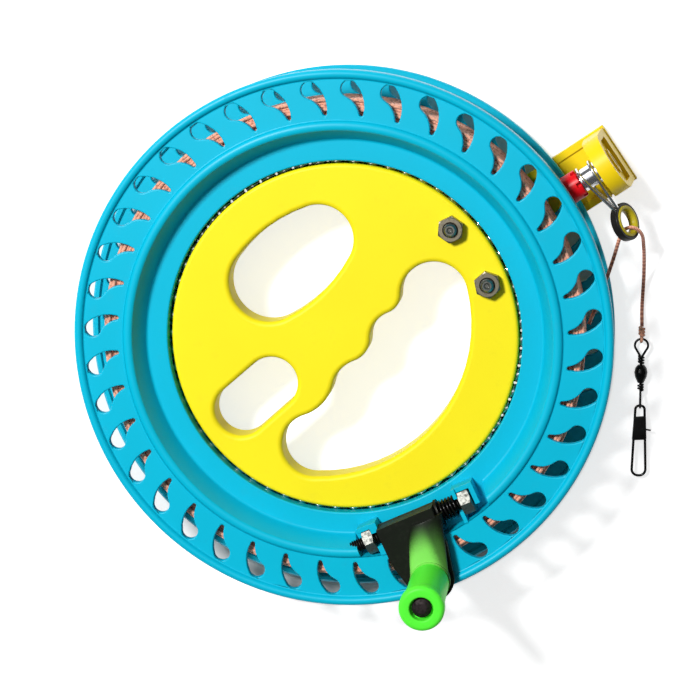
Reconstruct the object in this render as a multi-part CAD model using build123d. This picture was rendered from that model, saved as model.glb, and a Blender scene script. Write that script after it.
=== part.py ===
"""Kite line winder: a slotted wheel that turns on a ball race round a fixed hand plate.

Frame: origin on the wheel's spin axis, in the plane of the front slotted face.
+Z is the spin axis, out of the front of the wheel. +X is to the right and +Y is up
for someone who looks at the front. All sizes are in millimetres.
"""
from build123d import *
from math import acos, asin, atan2, ceil, cos, degrees, pi, radians, sin, sqrt, tan
import os

os.makedirs("parts", exist_ok=True)

# ---------------------------------------------------------------- driving sizes
# wheel, from the hand plate's edge outwards
PLATE_R = 52.1
RACE_GAP = 1.0             # between plate edge and wheel bore
RECESS_FLOOR_WIDTH = 6.4   # flat floor outside the bore
RECESS_SLOPE = 2.8         # width of the sloping wall
RIDGE_WIDTH = 2.9
DRUM_STEP = 0.8            # from the ridge to the drum
FLANGE_REACH = 14.0        # of the flanges beyond the drum
SLOT_FACE_GAP = 26.0       # between the two slotted faces
LIP_HEIGHT = 1.2           # rounded bead on the outer edge, above the slotted face
LIP_WIDTH = 2.6
LIP_DEPTH = 3.6            # how far the bead hangs below the slotted face
FLANGE_WALL = 2.4
RIDGE_HEIGHT = 1.0
DRUM_WALL = 2.2
RECESS_DEPTH = 6.5
RECESS_FLOOR_WALL = 2.2
BORE_SLEEVE_WALL = 2.6

# teardrop slots
SLOT_COUNT = 40
SLOT_PHASE = -2.0          # degrees, first head
SLOT_LAG = 3.2             # degrees, tail behind head, clockwise
SLOT_HEAD_R = 2.45
SLOT_TAIL_R = 0.6
SLOT_HEAD_INSET = 5.55     # head's centre inside the rim
SLOT_TAIL_STEP = 1.4       # tail's centre outside the drum
SLOT_BACK_R = 10.0         # bulging flank
SLOT_BELLY_R = 7.0         # hollow flank

# hand plate and ball race
PLATE_THICK = 10.2
PLATE_EDGE_FILLET = 1.2
OPENING_FILLET = 1.6
BALL_D = 4.76
BALL_COUNT = 62
BALL_PLAY = 0.05           # groove radius less ball radius

# openings in the hand plate: (x, y, lobe radius, radius of the flank to the next lobe)
# a flank radius of 0 is straight, and a negative one is a ridge between two fingers
THUMB_OPENING = [(-22.8, 16.2, 11.8, 45.0), (-7.6, 29.4, 10.3, 45.0)]
SMALL_OPENING = [(-31.5, -22.8, 7.9, 0), (-21.9, -14.2, 7.8, 0)]
FINGER_OPENING = [
    (-9.2, -33.1, 9.6, 47.0),
    (26.8, 13.4, 9.9, -6.0),
    (16.3, -0.1, 8.5, -7.5),
    (6.4, -16.4, 10.0, -13.5),
]

# line
LINE_D = 1.1
LINE_DEPTH = 4.55          # of the wound line on the drum, under its outer layer
WIND_TURNS = 9
WIND_MARGIN = 1.0          # between the end turns and the flanges
WIND_SIDES = 4
LINE_SIDES = 8
WIND_START = 7.0           # degrees

# screws that join the two halves of the wheel
SHELL_SCREW_COUNT = 6
SHELL_SCREW_STEP = 3.9     # screws outside the bore
SHELL_SCREW_D = 3.0
SHELL_SCREW_HEAD_D = 4.8
SHELL_SCREW_HEAD_H = 1.6
SHELL_SCREW_LENGTH = 11.0
SCREW_END_GAP = 0.3        # hole beyond the screw's tip
SHELL_BOSS_D = 6.0
SHELL_SCREW_PHASE = 24.5   # degrees

# crank: its pieces are drawn with the bolt along X and turned to CRANK_AZ
CRANK_AZ = 24.8            # degrees, direction of the hinge bolt
HINGE_INSET = 7.5          # hinge bolt inside the drum
HINGE_Z = -2.4
M4_D = 4.0
M4_AF = 7.0
M4_NUT_H = 3.2
M4_HEAD_H = 3.6
HOLE_PLAY = 0.05           # radial play of a turning or sliding fit
SCREW_PLAY = 0.1           # radial play round a clamped bolt
THREAD_PLAY = 0.02         # radial gap in a nut or a pressed cap
ARM_WIDTH = 18.0           # of the crank arm, along the bolt
ARM_MID = -4.2             # middle of the crank arm, along the bolt
ARM_THICK = 2.6
ARM_CLEAR = 0.5            # between the arm and the wheel's bead
BARREL_R = 3.6
CRANK_THROW = 16.3         # from the hinge bolt to the grip's axis
ARM_TIP_R = 7.0            # rounded outer end of the arm
ARM_SHOULDER = 8.0         # from the hinge bolt to where the arm starts to narrow
POST_BASE_R = 6.0
POST_BASE_Z = 8.0          # top of the arm's boot, where the grip starts
POST_D = 5.0
BOOT_X = 1.4               # boot's near end, along the bolt
BOOT_Z = 2.6
BOOT_HALF = 5.6
BOOT_RISE = 3.0
BOOT_STEP = 0.6            # the round seat stands this much above the boot
BOOT_INSET = 0.2           # and this much outside it
NUT_WEB_THICK = 2.4
HEAD_WEB_THICK = 1.2
HEAD_WEB_OUT = 12.5        # face of the web that the bolt head bears on
POCKET_X = (-21.5, 20.5)   # ends of the pocket cut in the ridge
FLANGE_SKIN = 0.9          # wall left between the pocket and the wound line
LUG_WALL = 1.5
LUG_TOP = -0.6
BOLT_TAIL = 5.0            # thread beyond the nut
TIP_GAP = 0.6              # round the bolt's tip, in its notch in the ridge
CRANK_WASHER_D = 8.0
CRANK_WASHER_H = 0.8
SEAT_GAP = 0.1             # face clearance between moving neighbours
SPRING_D = 6.6
SPRING_WIRE = 0.8
SPRING_TURNS = 4.5

# grip
GRIP_LENGTH = 27.0
GRIP_BASE_D = 11.4
GRIP_END_D = 13.2
GRIP_HEAD_BORE_D = 6.8
GRIP_HEAD_BORE_DEPTH = 2.6
GRIP_SCREW_HEAD_D = 5.8
GRIP_SCREW_HEAD_H = 1.8
GRIP_SCREW_D = 2.5
GRIP_SCREW_LENGTH = 10.0
GRIP_EDGE_FILLET = 1.2

# line guide arm: drawn along X and turned to GUIDE_AZ
GUIDE_AZ = 34.2
FOOT_INSET = 2.7           # foot's outer edge inside the plate's
FOOT_LENGTH = 9.0
FOOT_WIDTH = 28.0
ARM_BOLT_INSET = 4.4       # bolts inside the foot's outer edge
ARM_BOLT_HALF = 9.75
ARM_BOLT_TAIL = 1.6
BACK_CLEAR = 1.0           # between the rear bead and the guide arm
BAR_THICK = 4.0
BAR_WIDTH = 19.0
BAR_RIB_H = 0.7            # raised side ribs, within the rear clearance
BAR_RIB_W = 2.2
EAR_GAP = 10.0             # between the wheel's rim and the ear
EAR_THICK_FOOT = 7.0
EAR_THICK_TOP = 4.6
EAR_R = 9.0
EAR_RIM = 2.0
EAR_DISH = 1.2
BOSS_D = 7.9
ARM_BOLT_HEAD_D = 7.2
ARM_BOLT_HEAD_H = 2.4
ARM_BOLT_HEAD_SINK = 0.2   # bolt heads above the arm's underside
HEAD_RECESS_GAP = 0.3      # round a bolt head in its recess
PIN_Z = -12.0
PIN_D = 3.0
PIN_HEAD_D = 5.0
PIN_HEAD_H = 1.4
PIN_HEAD_SINK = 0.2        # pin's head below the ear's face
SLEEVE_D = 6.5
SLEEVE_LENGTH = 6.0
CAP_D = 8.6
CAP_LENGTH = 5.2
CAP_END_WALL = 1.2
CAP_NOTCHES = 6
CAP_NOTCH = 1.3
GUIDE_WIRE_D = 1.0
RING_REACH = 17.2          # from the pin to the ring's centre, sideways
RING_DROP = 4.0            # ring's centre below the pin
RING_FROM_EAR = 2.2        # ring's centre in front of the ear
RING_D = 11.4
RING_HOLE_D = 6.4
RING_FRAME_WALL = 1.0
RING_WIDTH = 2.4
RING_AIM = 0.5             # the wires aim at a point this far off the ring's centre
INSERT_LIP = 0.3           # of the ring's insert, beyond its frame
INSERT_FLARE = 0.6
WIRE_END_GAP = 1.3         # wire's middle from the sleeve's ends
WIRE_SHARE = 0.8           # of the way to the aim, before the ring cuts the wires off
RING_YAW = -11.5           # degrees, ring's axis from the arm's direction
RING_PITCH = -31.0

# swivel and snap, which lie on the table beside the wheel
TABLE_GAP = 0.1
SWIVEL_OUT = 8.1           # swivel's axis beyond the rim
EYE_Y = -4.2
EYE_D = 4.6
SWIVEL_WIRE = 0.9
BARREL_D = 4.1
BARREL_Y = -12.9
BARREL_LENGTH = 5.6
BARREL_TIP_D = 2.6
BARREL_BAND = 1.6          # full-width band round the barrel's middle
NECK_D = 1.8
STEM_NECK = 0.7            # barrel's end wall, which the stem passes
STEM_HEAD_D = 2.0
STEM_HEAD_H = 0.8
LOWER_EYE_Y = -21.8
LOWER_EYE_D = 4.0
SNAP_BOTTOM_Y = -44.6
SNAP_TOP_W = 3.4
SNAP_BOTTOM_W = 5.0
SNAP_WIRE = 0.9
SNAP_SLEEVE_Y = (-33.6, -26.0)
SNAP_SLEEVE_W = (3.8, 4.6) # widths of its two ends, like the wire's
SNAP_SLEEVE_T = 2.0
SNAP_BEND_R = 1.0
SNAP_END_GAP = 0.3         # half of the gap between the wire's ends, inside the sleeve
KNOT_D = 2.4
KNOT_LENGTH = 3.0

# free line, from the winding through the ring to the swivel's eye
LINE_ROUTE = [
    (72.4, 5.0, -13.0),
    (76.3, 15.4, -13.7),
    (79.4, 25.0, -14.9),
    (80.7, 30.1, -16.2),
    (81.7, 32.7, -16.4),
    (83.9, 33.8, -15.7),
    (86.1, 33.1, -16.0),
    (87.5, 31.1, -17.7),
    (87.8, 29.0, -19.8),
    (88.2, 24.2, -23.6),
    (88.3, 17.6, -28.2),
    (88.1, 11.0, -31.2),
    (87.9, 6.2, -31.5),
    (88.1, 1.6, -30.1),
]

# ---------------------------------------------------------------- worked out
MID_Z = -SLOT_FACE_GAP / 2
BORE_R = PLATE_R + RACE_GAP
RECESS_R = BORE_R + RECESS_FLOOR_WIDTH
RIDGE_INNER_R = RECESS_R + RECESS_SLOPE
RIDGE_OUTER_R = RIDGE_INNER_R + RIDGE_WIDTH
DRUM_R = RIDGE_OUTER_R + DRUM_STEP
WHEEL_R = DRUM_R + FLANGE_REACH
CORE_R = DRUM_R + LINE_DEPTH
SLOT_HEAD_AT = WHEEL_R - SLOT_HEAD_INSET
SLOT_TAIL_AT = DRUM_R + SLOT_TAIL_STEP
SHELL_SCREW_R = BORE_R + SHELL_SCREW_STEP
HINGE_R = DRUM_R - HINGE_INSET
FOOT_OUT = PLATE_R - FOOT_INSET
FOOT_IN = FOOT_OUT - FOOT_LENGTH
ARM_BOLT_R = FOOT_OUT - ARM_BOLT_INSET
EAR_INNER = WHEEL_R + EAR_GAP
EAR_FOOT = EAR_INNER + EAR_THICK_FOOT
EAR_TOP = EAR_INNER + EAR_THICK_TOP
RING_AT = EAR_INNER - RING_FROM_EAR
SWIVEL_X = WHEEL_R + SWIVEL_OUT
BALL_PITCH_R = PLATE_R + RACE_GAP / 2
GROOVE_R = BALL_D / 2 + BALL_PLAY
PLATE_TOP = MID_Z + PLATE_THICK / 2
PLATE_BACK = MID_Z - PLATE_THICK / 2
REAR_LIP_Z = -SLOT_FACE_GAP - LIP_HEIGHT
BAR_TOP = REAR_LIP_Z - BACK_CLEAR
BAR_BOTTOM = BAR_TOP - BAR_THICK
ARM_BOTTOM = LIP_HEIGHT + ARM_CLEAR
ARM_RIGHT = ARM_MID + ARM_WIDTH / 2
NUT_WEB_IN = ARM_RIGHT - ARM_WIDTH - SEAT_GAP
NUT_WEB_OUT = NUT_WEB_IN - NUT_WEB_THICK
HEAD_WEB_IN = HEAD_WEB_OUT - HEAD_WEB_THICK
REAR_FLOOR_Z = -SLOT_FACE_GAP + RECESS_DEPTH
SCREW_TIP_Z = REAR_FLOOR_Z + SHELL_SCREW_LENGTH
GUIDE = Rot(0, 0, GUIDE_AZ)
TABLE_Z = BAR_BOTTOM


# ---------------------------------------------------------------- helpers
def save(node, shape):
    """Write one sub-part and say how large it is."""
    shape.label = node
    export_step(shape, f"parts/{node}.step")
    print(f"{node:16s} solids {len(shape.solids()):3d}  volume {shape.volume:10.2f}")
    return shape


def group(solids):
    """Separate solids of one node, such as a set of screws."""
    return Compound(children=list(solids))


def flank_centre(first, second, flank):
    """Centre of the arc that is tangent to two lobes, for an outline that runs anticlockwise."""
    (x1, y1, r1), (x2, y2, r2) = first, second
    reach1, reach2 = (flank - r1, flank - r2) if flank > 0 else (r1 - flank, r2 - flank)
    span = sqrt((x2 - x1) ** 2 + (y2 - y1) ** 2)
    along = (reach1 ** 2 - reach2 ** 2 + span ** 2) / (2 * span)
    across = sqrt(reach1 ** 2 - along ** 2) * (1 if flank > 0 else -1)
    ux, uy = (x2 - x1) / span, (y2 - y1) / span
    return x1 + along * ux - across * uy, y1 + along * uy + across * ux


def tangent_angles(first, second, flank):
    """Angles on the two lobes at which the flank between them touches."""
    (x1, y1, r1), (x2, y2, r2) = first, second
    if flank == 0:
        bearing = atan2(y2 - y1, x2 - x1)
        lean = asin((r1 - r2) / sqrt((x2 - x1) ** 2 + (y2 - y1) ** 2))
        return bearing - pi / 2 + lean, bearing - pi / 2 + lean
    cx, cy = flank_centre(first, second, flank)
    side = 1 if flank > 0 else -1
    return (atan2(side * (y1 - cy), side * (x1 - cx)),
            atan2(side * (y2 - cy), side * (x2 - cx)))


def arc_between(cx, cy, radius, start, end, turn):
    """Arc round a centre from one angle to another, anticlockwise when turn is 1."""
    sweep_angle = (turn * (end - start)) % (2 * pi)
    at = [start + turn * sweep_angle * share for share in (0, 0.5, 1)]
    return ThreePointArc(*[(cx + radius * cos(a), cy + radius * sin(a)) for a in at])


def lobed_outline(lobes):
    """Closed face of round lobes joined by tangent flanks: bulging, straight or ridged."""
    count = len(lobes)
    leave, arrive, edges = [None] * count, [None] * count, []
    for i, (x, y, r, flank) in enumerate(lobes):
        after = (i + 1) % count
        leave[i], arrive[after] = tangent_angles((x, y, r), lobes[after][:3], flank)
    for i, (x, y, r, flank) in enumerate(lobes):
        after = (i + 1) % count
        x2, y2, r2 = lobes[after][:3]
        edges.append(arc_between(x, y, r, arrive[i], leave[i], 1))
        if flank == 0:
            edges.append(Line((x + r * cos(leave[i]), y + r * sin(leave[i])),
                              (x2 + r2 * cos(arrive[after]), y2 + r2 * sin(arrive[after]))))
        else:
            cx, cy = flank_centre((x, y, r), (x2, y2, r2), flank)
            turned = 0 if flank > 0 else pi
            edges.append(arc_between(cx, cy, abs(flank), leave[i] + turned,
                                     arrive[after] + turned, 1 if flank > 0 else -1))
    return make_face(edges)


def turned(points, closed=True):
    """Solid of revolution about Z from (radius, z) points."""
    return revolve(Plane.XZ * make_face(Polyline(*points, close=closed)), Axis.Z)


def rod(start, end, radius):
    """Round bar between two points."""
    start, end = Vector(*start), Vector(*end)
    plane = Plane(origin=start, z_dir=end - start)
    return extrude(plane * Circle(radius), (end - start).length)


def tube_along(path, section):
    """Sweep a section along a wire that starts at the wire's first point."""
    plane = Plane(origin=path @ 0, z_dir=path % 0)
    return sweep(plane * section, path=path)


def hexagon(across_flats, height, x, corner_up=True):
    """Hexagonal prism along X at the hinge bolt's place."""
    radius = across_flats / sqrt(3)
    shape = RegularPolygon(radius, 6, rotation=30 if corner_up else 0)
    return extrude(Plane(origin=(x, -HINGE_R, HINGE_Z), x_dir=(0, 1, 0), z_dir=(1, 0, 0)) * shape,
                   height)


def x_cylinder(radius, x1, x2, y=-HINGE_R, z=HINGE_Z):
    """Cylinder along X."""
    return extrude(Plane(origin=(x1, y, z), z_dir=(1, 0, 0)) * Circle(radius), x2 - x1)


def block(x1, x2, y1, y2, z1, z2):
    """Rectangular block between limits."""
    return Pos((x1 + x2) / 2, (y1 + y2) / 2, (z1 + z2) / 2) * Box(x2 - x1, y2 - y1, z2 - z1)


# ---------------------------------------------------------------- wheel
def slot_faces():
    """The ring of teardrop slots."""
    faces = []
    for i in range(SLOT_COUNT):
        head = radians(SLOT_PHASE + i * 360 / SLOT_COUNT)
        tail = head - radians(SLOT_LAG)
        faces.append(lobed_outline([
            (SLOT_HEAD_AT * cos(head), SLOT_HEAD_AT * sin(head), SLOT_HEAD_R, -SLOT_BELLY_R),
            (SLOT_TAIL_AT * cos(tail), SLOT_TAIL_AT * sin(tail), SLOT_TAIL_R, SLOT_BACK_R),
        ]))
    return faces


def half_shell():
    """Front half of the wheel: slotted flange, half drum, recess and half of the ball track."""
    groove_half = sqrt(GROOVE_R ** 2 - (BORE_R - BALL_PITCH_R) ** 2)
    groove_r = BALL_PITCH_R + GROOVE_R
    floor_under = -RECESS_DEPTH - RECESS_FLOOR_WALL
    sleeve_r = BORE_R + BORE_SLEEVE_WALL
    bead_in = WHEEL_R - LIP_WIDTH
    edges = [
        ThreePointArc((WHEEL_R, 0), ((WHEEL_R + bead_in) / 2, LIP_HEIGHT), (bead_in, 0)),
        Line((bead_in, 0), (RIDGE_OUTER_R, 0)),
        ThreePointArc((RIDGE_OUTER_R, 0), ((RIDGE_OUTER_R + RIDGE_INNER_R) / 2, RIDGE_HEIGHT),
                      (RIDGE_INNER_R, 0)),
        Line((RIDGE_INNER_R, 0), (RECESS_R, -RECESS_DEPTH)),
        Line((RECESS_R, -RECESS_DEPTH), (BORE_R, -RECESS_DEPTH)),
        Line((BORE_R, -RECESS_DEPTH), (BORE_R, MID_Z + groove_half)),
        arc_between(BALL_PITCH_R, MID_Z, GROOVE_R,
                    atan2(groove_half, BORE_R - BALL_PITCH_R), 0, -1),
        Polyline((groove_r, MID_Z), (sleeve_r, MID_Z), (sleeve_r, floor_under),
                 (DRUM_R - DRUM_WALL, floor_under), (DRUM_R - DRUM_WALL, MID_Z),
                 (DRUM_R, MID_Z), (DRUM_R, -FLANGE_WALL), (bead_in + 0.4, -FLANGE_WALL),
                 (bead_in + 0.8, -LIP_DEPTH), (WHEEL_R - 0.6, -LIP_DEPTH),
                 (WHEEL_R, -LIP_DEPTH + 0.6), (WHEEL_R, 0)),
    ]
    shell = revolve(Plane.XZ * make_face(edges), Axis.Z)
    bosses = [Pos(x, y, (floor_under + MID_Z) / 2) * Cylinder(SHELL_BOSS_D / 2,
                                                             floor_under - MID_Z)
              for x, y in screw_places()]
    sleeve = Pos(0, 0, (floor_under + MID_Z) / 2) * Cylinder(sleeve_r, floor_under - MID_Z)
    shell = shell + (Compound(bosses) - sleeve)
    return shell - [extrude(face, FLANGE_WALL + 1, both=True) for face in slot_faces()]


def screw_places():
    """Centres of the screws that join the halves."""
    angles = [radians(SHELL_SCREW_PHASE + i * 360 / SHELL_SCREW_COUNT)
              for i in range(SHELL_SCREW_COUNT)]
    return [(SHELL_SCREW_R * cos(a), SHELL_SCREW_R * sin(a)) for a in angles]


def crank_seat(shell):
    """Cut the pocket for the crank's hinge and add the two lugs that hold its bolt."""
    reach = DRUM_R - FLANGE_SKIN
    pocket = (block(POCKET_X[0], POCKET_X[1], -reach, -HINGE_R + BARREL_R + 1,
                    -RECESS_DEPTH, LIP_HEIGHT + 1)
              & Pos(0, 0, -RECESS_DEPTH) * Cylinder(reach, 4 * RECESS_DEPTH))
    tip = NUT_WEB_OUT - M4_NUT_H - BOLT_TAIL
    tip_r = M4_D / 2 + TIP_GAP
    pocket += block(tip - TIP_GAP, POCKET_X[0] + 1, -HINGE_R - tip_r, -HINGE_R + tip_r,
                    HINGE_Z - tip_r, LIP_HEIGHT + 1)
    shell = shell - Rot(0, 0, CRANK_AZ) * pocket
    inner_y = -HINGE_R + M4_AF / 2 + 0.15
    web_top = HINGE_Z + M4_D / 2 + 0.6
    foot = -RECESS_DEPTH - RECESS_FLOOR_WALL / 2
    outer_y = -reach - FLANGE_SKIN / 2
    nut_end = NUT_WEB_OUT - M4_NUT_H
    head_end = HEAD_WEB_OUT + M4_HEAD_H
    lugs = [
        block(NUT_WEB_OUT, NUT_WEB_IN, outer_y, inner_y + LUG_WALL, foot, web_top),
        block(nut_end - 0.6, NUT_WEB_IN, inner_y, inner_y + LUG_WALL, foot, LUG_TOP),
        block(HEAD_WEB_IN, HEAD_WEB_OUT, outer_y, inner_y + LUG_WALL, foot, web_top),
        block(HEAD_WEB_IN, head_end + 0.4 + LUG_WALL, inner_y, inner_y + LUG_WALL, foot, LUG_TOP),
        block(head_end + 0.4, head_end + 0.4 + LUG_WALL, -HINGE_R - M4_AF / 4,
              inner_y + LUG_WALL, foot, LUG_TOP),
    ]
    ring = Pos(0, 0, foot) * Cylinder(reach + FLANGE_SKIN / 2, 4 * RECESS_DEPTH)
    notch_r = M4_D / 2 + SCREW_PLAY
    notches = []
    for x1, x2 in ((NUT_WEB_OUT, NUT_WEB_IN), (HEAD_WEB_IN, HEAD_WEB_OUT)):
        notches.append(x_cylinder(notch_r, x1 - 0.01, x2 + 0.01))
        notches.append(block(x1 - 0.01, x2 + 0.01, -HINGE_R - notch_r, -HINGE_R + notch_r,
                             HINGE_Z, web_top + 1))
    seat = (lugs[0] + lugs[1:]) & ring
    return shell + Rot(0, 0, CRANK_AZ) * (seat - notches)


def wheel():
    """Both halves of the wheel, their screws and the wound line."""
    half = half_shell()
    rear = half.mirror(Plane.XY.offset(MID_Z))
    front = crank_seat(half)
    holes = [Pos(x, y, (SCREW_TIP_Z + REAR_FLOOR_Z) / 2) * Cylinder(
        SHELL_SCREW_D / 2 + SCREW_PLAY, SHELL_SCREW_LENGTH + 2 * SCREW_END_GAP)
        for x, y in screw_places()]
    save("front_shell", front - holes)
    save("rear_shell", rear - holes)
    screws = []
    for x, y in screw_places():
        shank = Pos(x, y, (SCREW_TIP_Z + REAR_FLOOR_Z) / 2) * Cylinder(
            SHELL_SCREW_D / 2, SCREW_TIP_Z - REAR_FLOOR_Z)
        head = Pos(x, y, REAR_FLOOR_Z - SHELL_SCREW_HEAD_H / 2) * Cylinder(
            SHELL_SCREW_HEAD_D / 2, SHELL_SCREW_HEAD_H)
        screws.append(shank + head)
    save("shell_screws", group(screws))


def line_pack():
    """The wound line: a plain core and one outer layer of turns."""
    low, high = -SLOT_FACE_GAP + FLANGE_WALL, -FLANGE_WALL
    core = turned([(DRUM_R, low + 0.05), (CORE_R, low + 0.05),
                   (CORE_R, high - 0.05), (DRUM_R, high - 0.05)])
    save("line_core", core)
    radius = CORE_R + LINE_D / 2
    top = high - WIND_MARGIN - LINE_D / 2
    bottom = low + WIND_MARGIN + LINE_D / 2
    rise = (top - bottom) / (2 * WIND_TURNS)
    slope = rise / (pi * radius)
    knots = []
    for i in range(2 * WIND_TURNS + 1):
        angle = radians(WIND_START) + i * pi
        spot = Vector(radius * cos(angle), radius * sin(angle), top - i * rise)
        along = Vector(-sin(angle), cos(angle), -slope).normalized()
        knots.append((spot, along))
    edges = [Line(knots[0][0] - knots[0][1] * LINE_D, knots[0][0])]
    for (p, t), (q, w) in zip(knots, knots[1:]):
        edges += biarc(p, t, q, w)
    edges.append(Line(knots[-1][0], knots[-1][0] + knots[-1][1] * LINE_D))
    path = Wire(edges)
    section = RegularPolygon(LINE_D / 2, WIND_SIDES)
    winding = tube_along(path, section)
    save("line_winding", winding)
    samples = [path @ (k / 720) for k in range(721)]
    near = min((a - b).length for i, a in enumerate(samples) for b in samples[i + 30:])
    print(f"winding: length {path.length:.0f}, least gap to itself {near - LINE_D:.2f}")


def biarc(p, t, q, w):
    """Two arcs from p with direction t to q with direction w."""
    v = q - p
    s = t + w
    a, b, c = 2 * (t.dot(w) - 1), -2 * v.dot(s), v.dot(v)
    d = c / -b if abs(a) < 1e-9 else (-b - sqrt(b * b - 4 * a * c)) / (2 * a)
    first, second = p + t * d, q - w * d
    middle = (first + second) * 0.5
    turn = (second - first).normalized()
    return [Edge.make_tangent_arc(p, t, middle), Edge.make_tangent_arc(middle, turn, q)]


# ---------------------------------------------------------------- hand plate and balls
def hand_plate():
    """Solid disc with finger and thumb openings and a ball groove round its edge."""
    plate = Pos(0, 0, MID_Z) * Cylinder(PLATE_R, PLATE_THICK)
    plate = fillet(plate.edges().filter_by(GeomType.CIRCLE), PLATE_EDGE_FILLET)
    for lobes in (THUMB_OPENING, SMALL_OPENING, FINGER_OPENING):
        hole = extrude(Pos(0, 0, MID_Z) * lobed_outline(lobes), PLATE_THICK, both=True)
        plate = plate - hole
    rims = [e for face in (plate.faces().sort_by(Axis.Z)[-1], plate.faces().sort_by(Axis.Z)[0])
            for wire in face.inner_wires() for e in wire.edges()]
    plate = fillet(rims, OPENING_FILLET)
    groove = revolve(Plane.XZ * Pos(BALL_PITCH_R, MID_Z) * Circle(GROOVE_R), Axis.Z)
    plate = plate - groove
    bolts = [GUIDE * Pos(ARM_BOLT_R, side * ARM_BOLT_HALF, MID_Z) * Cylinder(
        M4_D / 2 + SCREW_PLAY, 2 * PLATE_THICK) for side in (-1, 1)]
    return save("hand_plate", plate - bolts)


def bearing_balls():
    """Faceted balls, evenly spaced in the track."""
    flat = BALL_D / 2 / sqrt(1 + 2 * (sqrt(2) - 1) ** 2)
    cube = Box(2 * flat, 2 * flat, 2 * flat)
    ball = cube & Rot(45, 0, 0) * cube & Rot(0, 45, 0) * cube & Rot(0, 0, 45) * cube
    balls = [Rot(0, 0, i * 360 / BALL_COUNT) * Pos(BALL_PITCH_R, 0, MID_Z) * ball
             for i in range(BALL_COUNT)]
    save("bearing_balls", group(balls))


# ---------------------------------------------------------------- crank
def crank():
    """Hinge bolt, spring, folding arm and turning grip."""
    turn = Rot(0, 0, CRANK_AZ)
    bolt = x_cylinder(M4_D / 2, NUT_WEB_OUT - M4_NUT_H - BOLT_TAIL, HEAD_WEB_OUT)
    bolt = chamfer(bolt.edges().group_by(Axis.X)[0], 0.6)
    save("hinge_bolt", turn * (bolt + hexagon(M4_AF, M4_HEAD_H, HEAD_WEB_OUT)))
    nut = hexagon(M4_AF, M4_NUT_H, NUT_WEB_OUT - M4_NUT_H) - x_cylinder(
        M4_D / 2 + THREAD_PLAY, NUT_WEB_OUT - 2 * M4_NUT_H, NUT_WEB_OUT + 1)
    save("hinge_nut", turn * nut)
    washer_x = ARM_RIGHT + SEAT_GAP
    washer = x_cylinder(CRANK_WASHER_D / 2, washer_x, washer_x + CRANK_WASHER_H)
    washer -= x_cylinder(M4_D / 2 + HOLE_PLAY, washer_x - 1, washer_x + CRANK_WASHER_H + 1)
    save("crank_washer", turn * washer)
    save("crank_spring", turn * spring(washer_x + CRANK_WASHER_H, HEAD_WEB_IN))
    save("crank_arm", turn * crank_arm())
    at_grip = turn * Pos(ARM_MID, -HINGE_R - CRANK_THROW, 0)
    low = POST_BASE_Z + SEAT_GAP
    high = low + GRIP_LENGTH
    shoulder = high - GRIP_HEAD_BORE_DEPTH
    neck = high - 0.22 * GRIP_LENGTH
    grip = turned([(POST_D / 2 + HOLE_PLAY, low), (GRIP_BASE_D / 2, low),
                   (GRIP_BASE_D / 2 + 0.25, neck), (GRIP_END_D / 2, neck + 2.6),
                   (GRIP_END_D / 2, high), (GRIP_HEAD_BORE_D / 2, high),
                   (GRIP_HEAD_BORE_D / 2, shoulder), (POST_D / 2 + HOLE_PLAY, shoulder)])
    rim = grip.edges().filter_by(GeomType.CIRCLE).filter_by(
        lambda e: abs(e.radius - GRIP_END_D / 2) < 0.01).sort_by(Axis.Z)[-1]
    save("grip", at_grip * fillet(rim, GRIP_EDGE_FILLET))
    top = shoulder + SEAT_GAP
    screw = Pos(0, 0, top - GRIP_SCREW_LENGTH / 2) * Cylinder(GRIP_SCREW_D / 2,
                                                             GRIP_SCREW_LENGTH)
    screw += Pos(0, 0, top + GRIP_SCREW_HEAD_H / 2) * Cylinder(GRIP_SCREW_HEAD_D / 2,
                                                              GRIP_SCREW_HEAD_H)
    save("grip_screw", at_grip * screw)


def spring(x1, x2):
    """Compression spring round the hinge bolt, with half-turn arcs."""
    radius = (SPRING_D - SPRING_WIRE) / 2
    first, last = x1 + SPRING_WIRE / 2 + 0.05, x2 - SPRING_WIRE / 2 - 0.05
    halves = int(2 * SPRING_TURNS)
    rise = (last - first) / halves
    slope = rise / (pi * radius)
    knots = []
    for i in range(halves + 1):
        angle = i * pi
        spot = Vector(first + i * rise, -HINGE_R + radius * cos(angle),
                      HINGE_Z + radius * sin(angle))
        knots.append((spot, Vector(slope, -sin(angle), cos(angle)).normalized()))
    edges = []
    for (p, t), (q, w) in zip(knots, knots[1:]):
        edges += biarc(p, t, q, w)
    return tube_along(Wire(edges), RegularPolygon(SPRING_WIRE / 2, 6))


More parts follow.
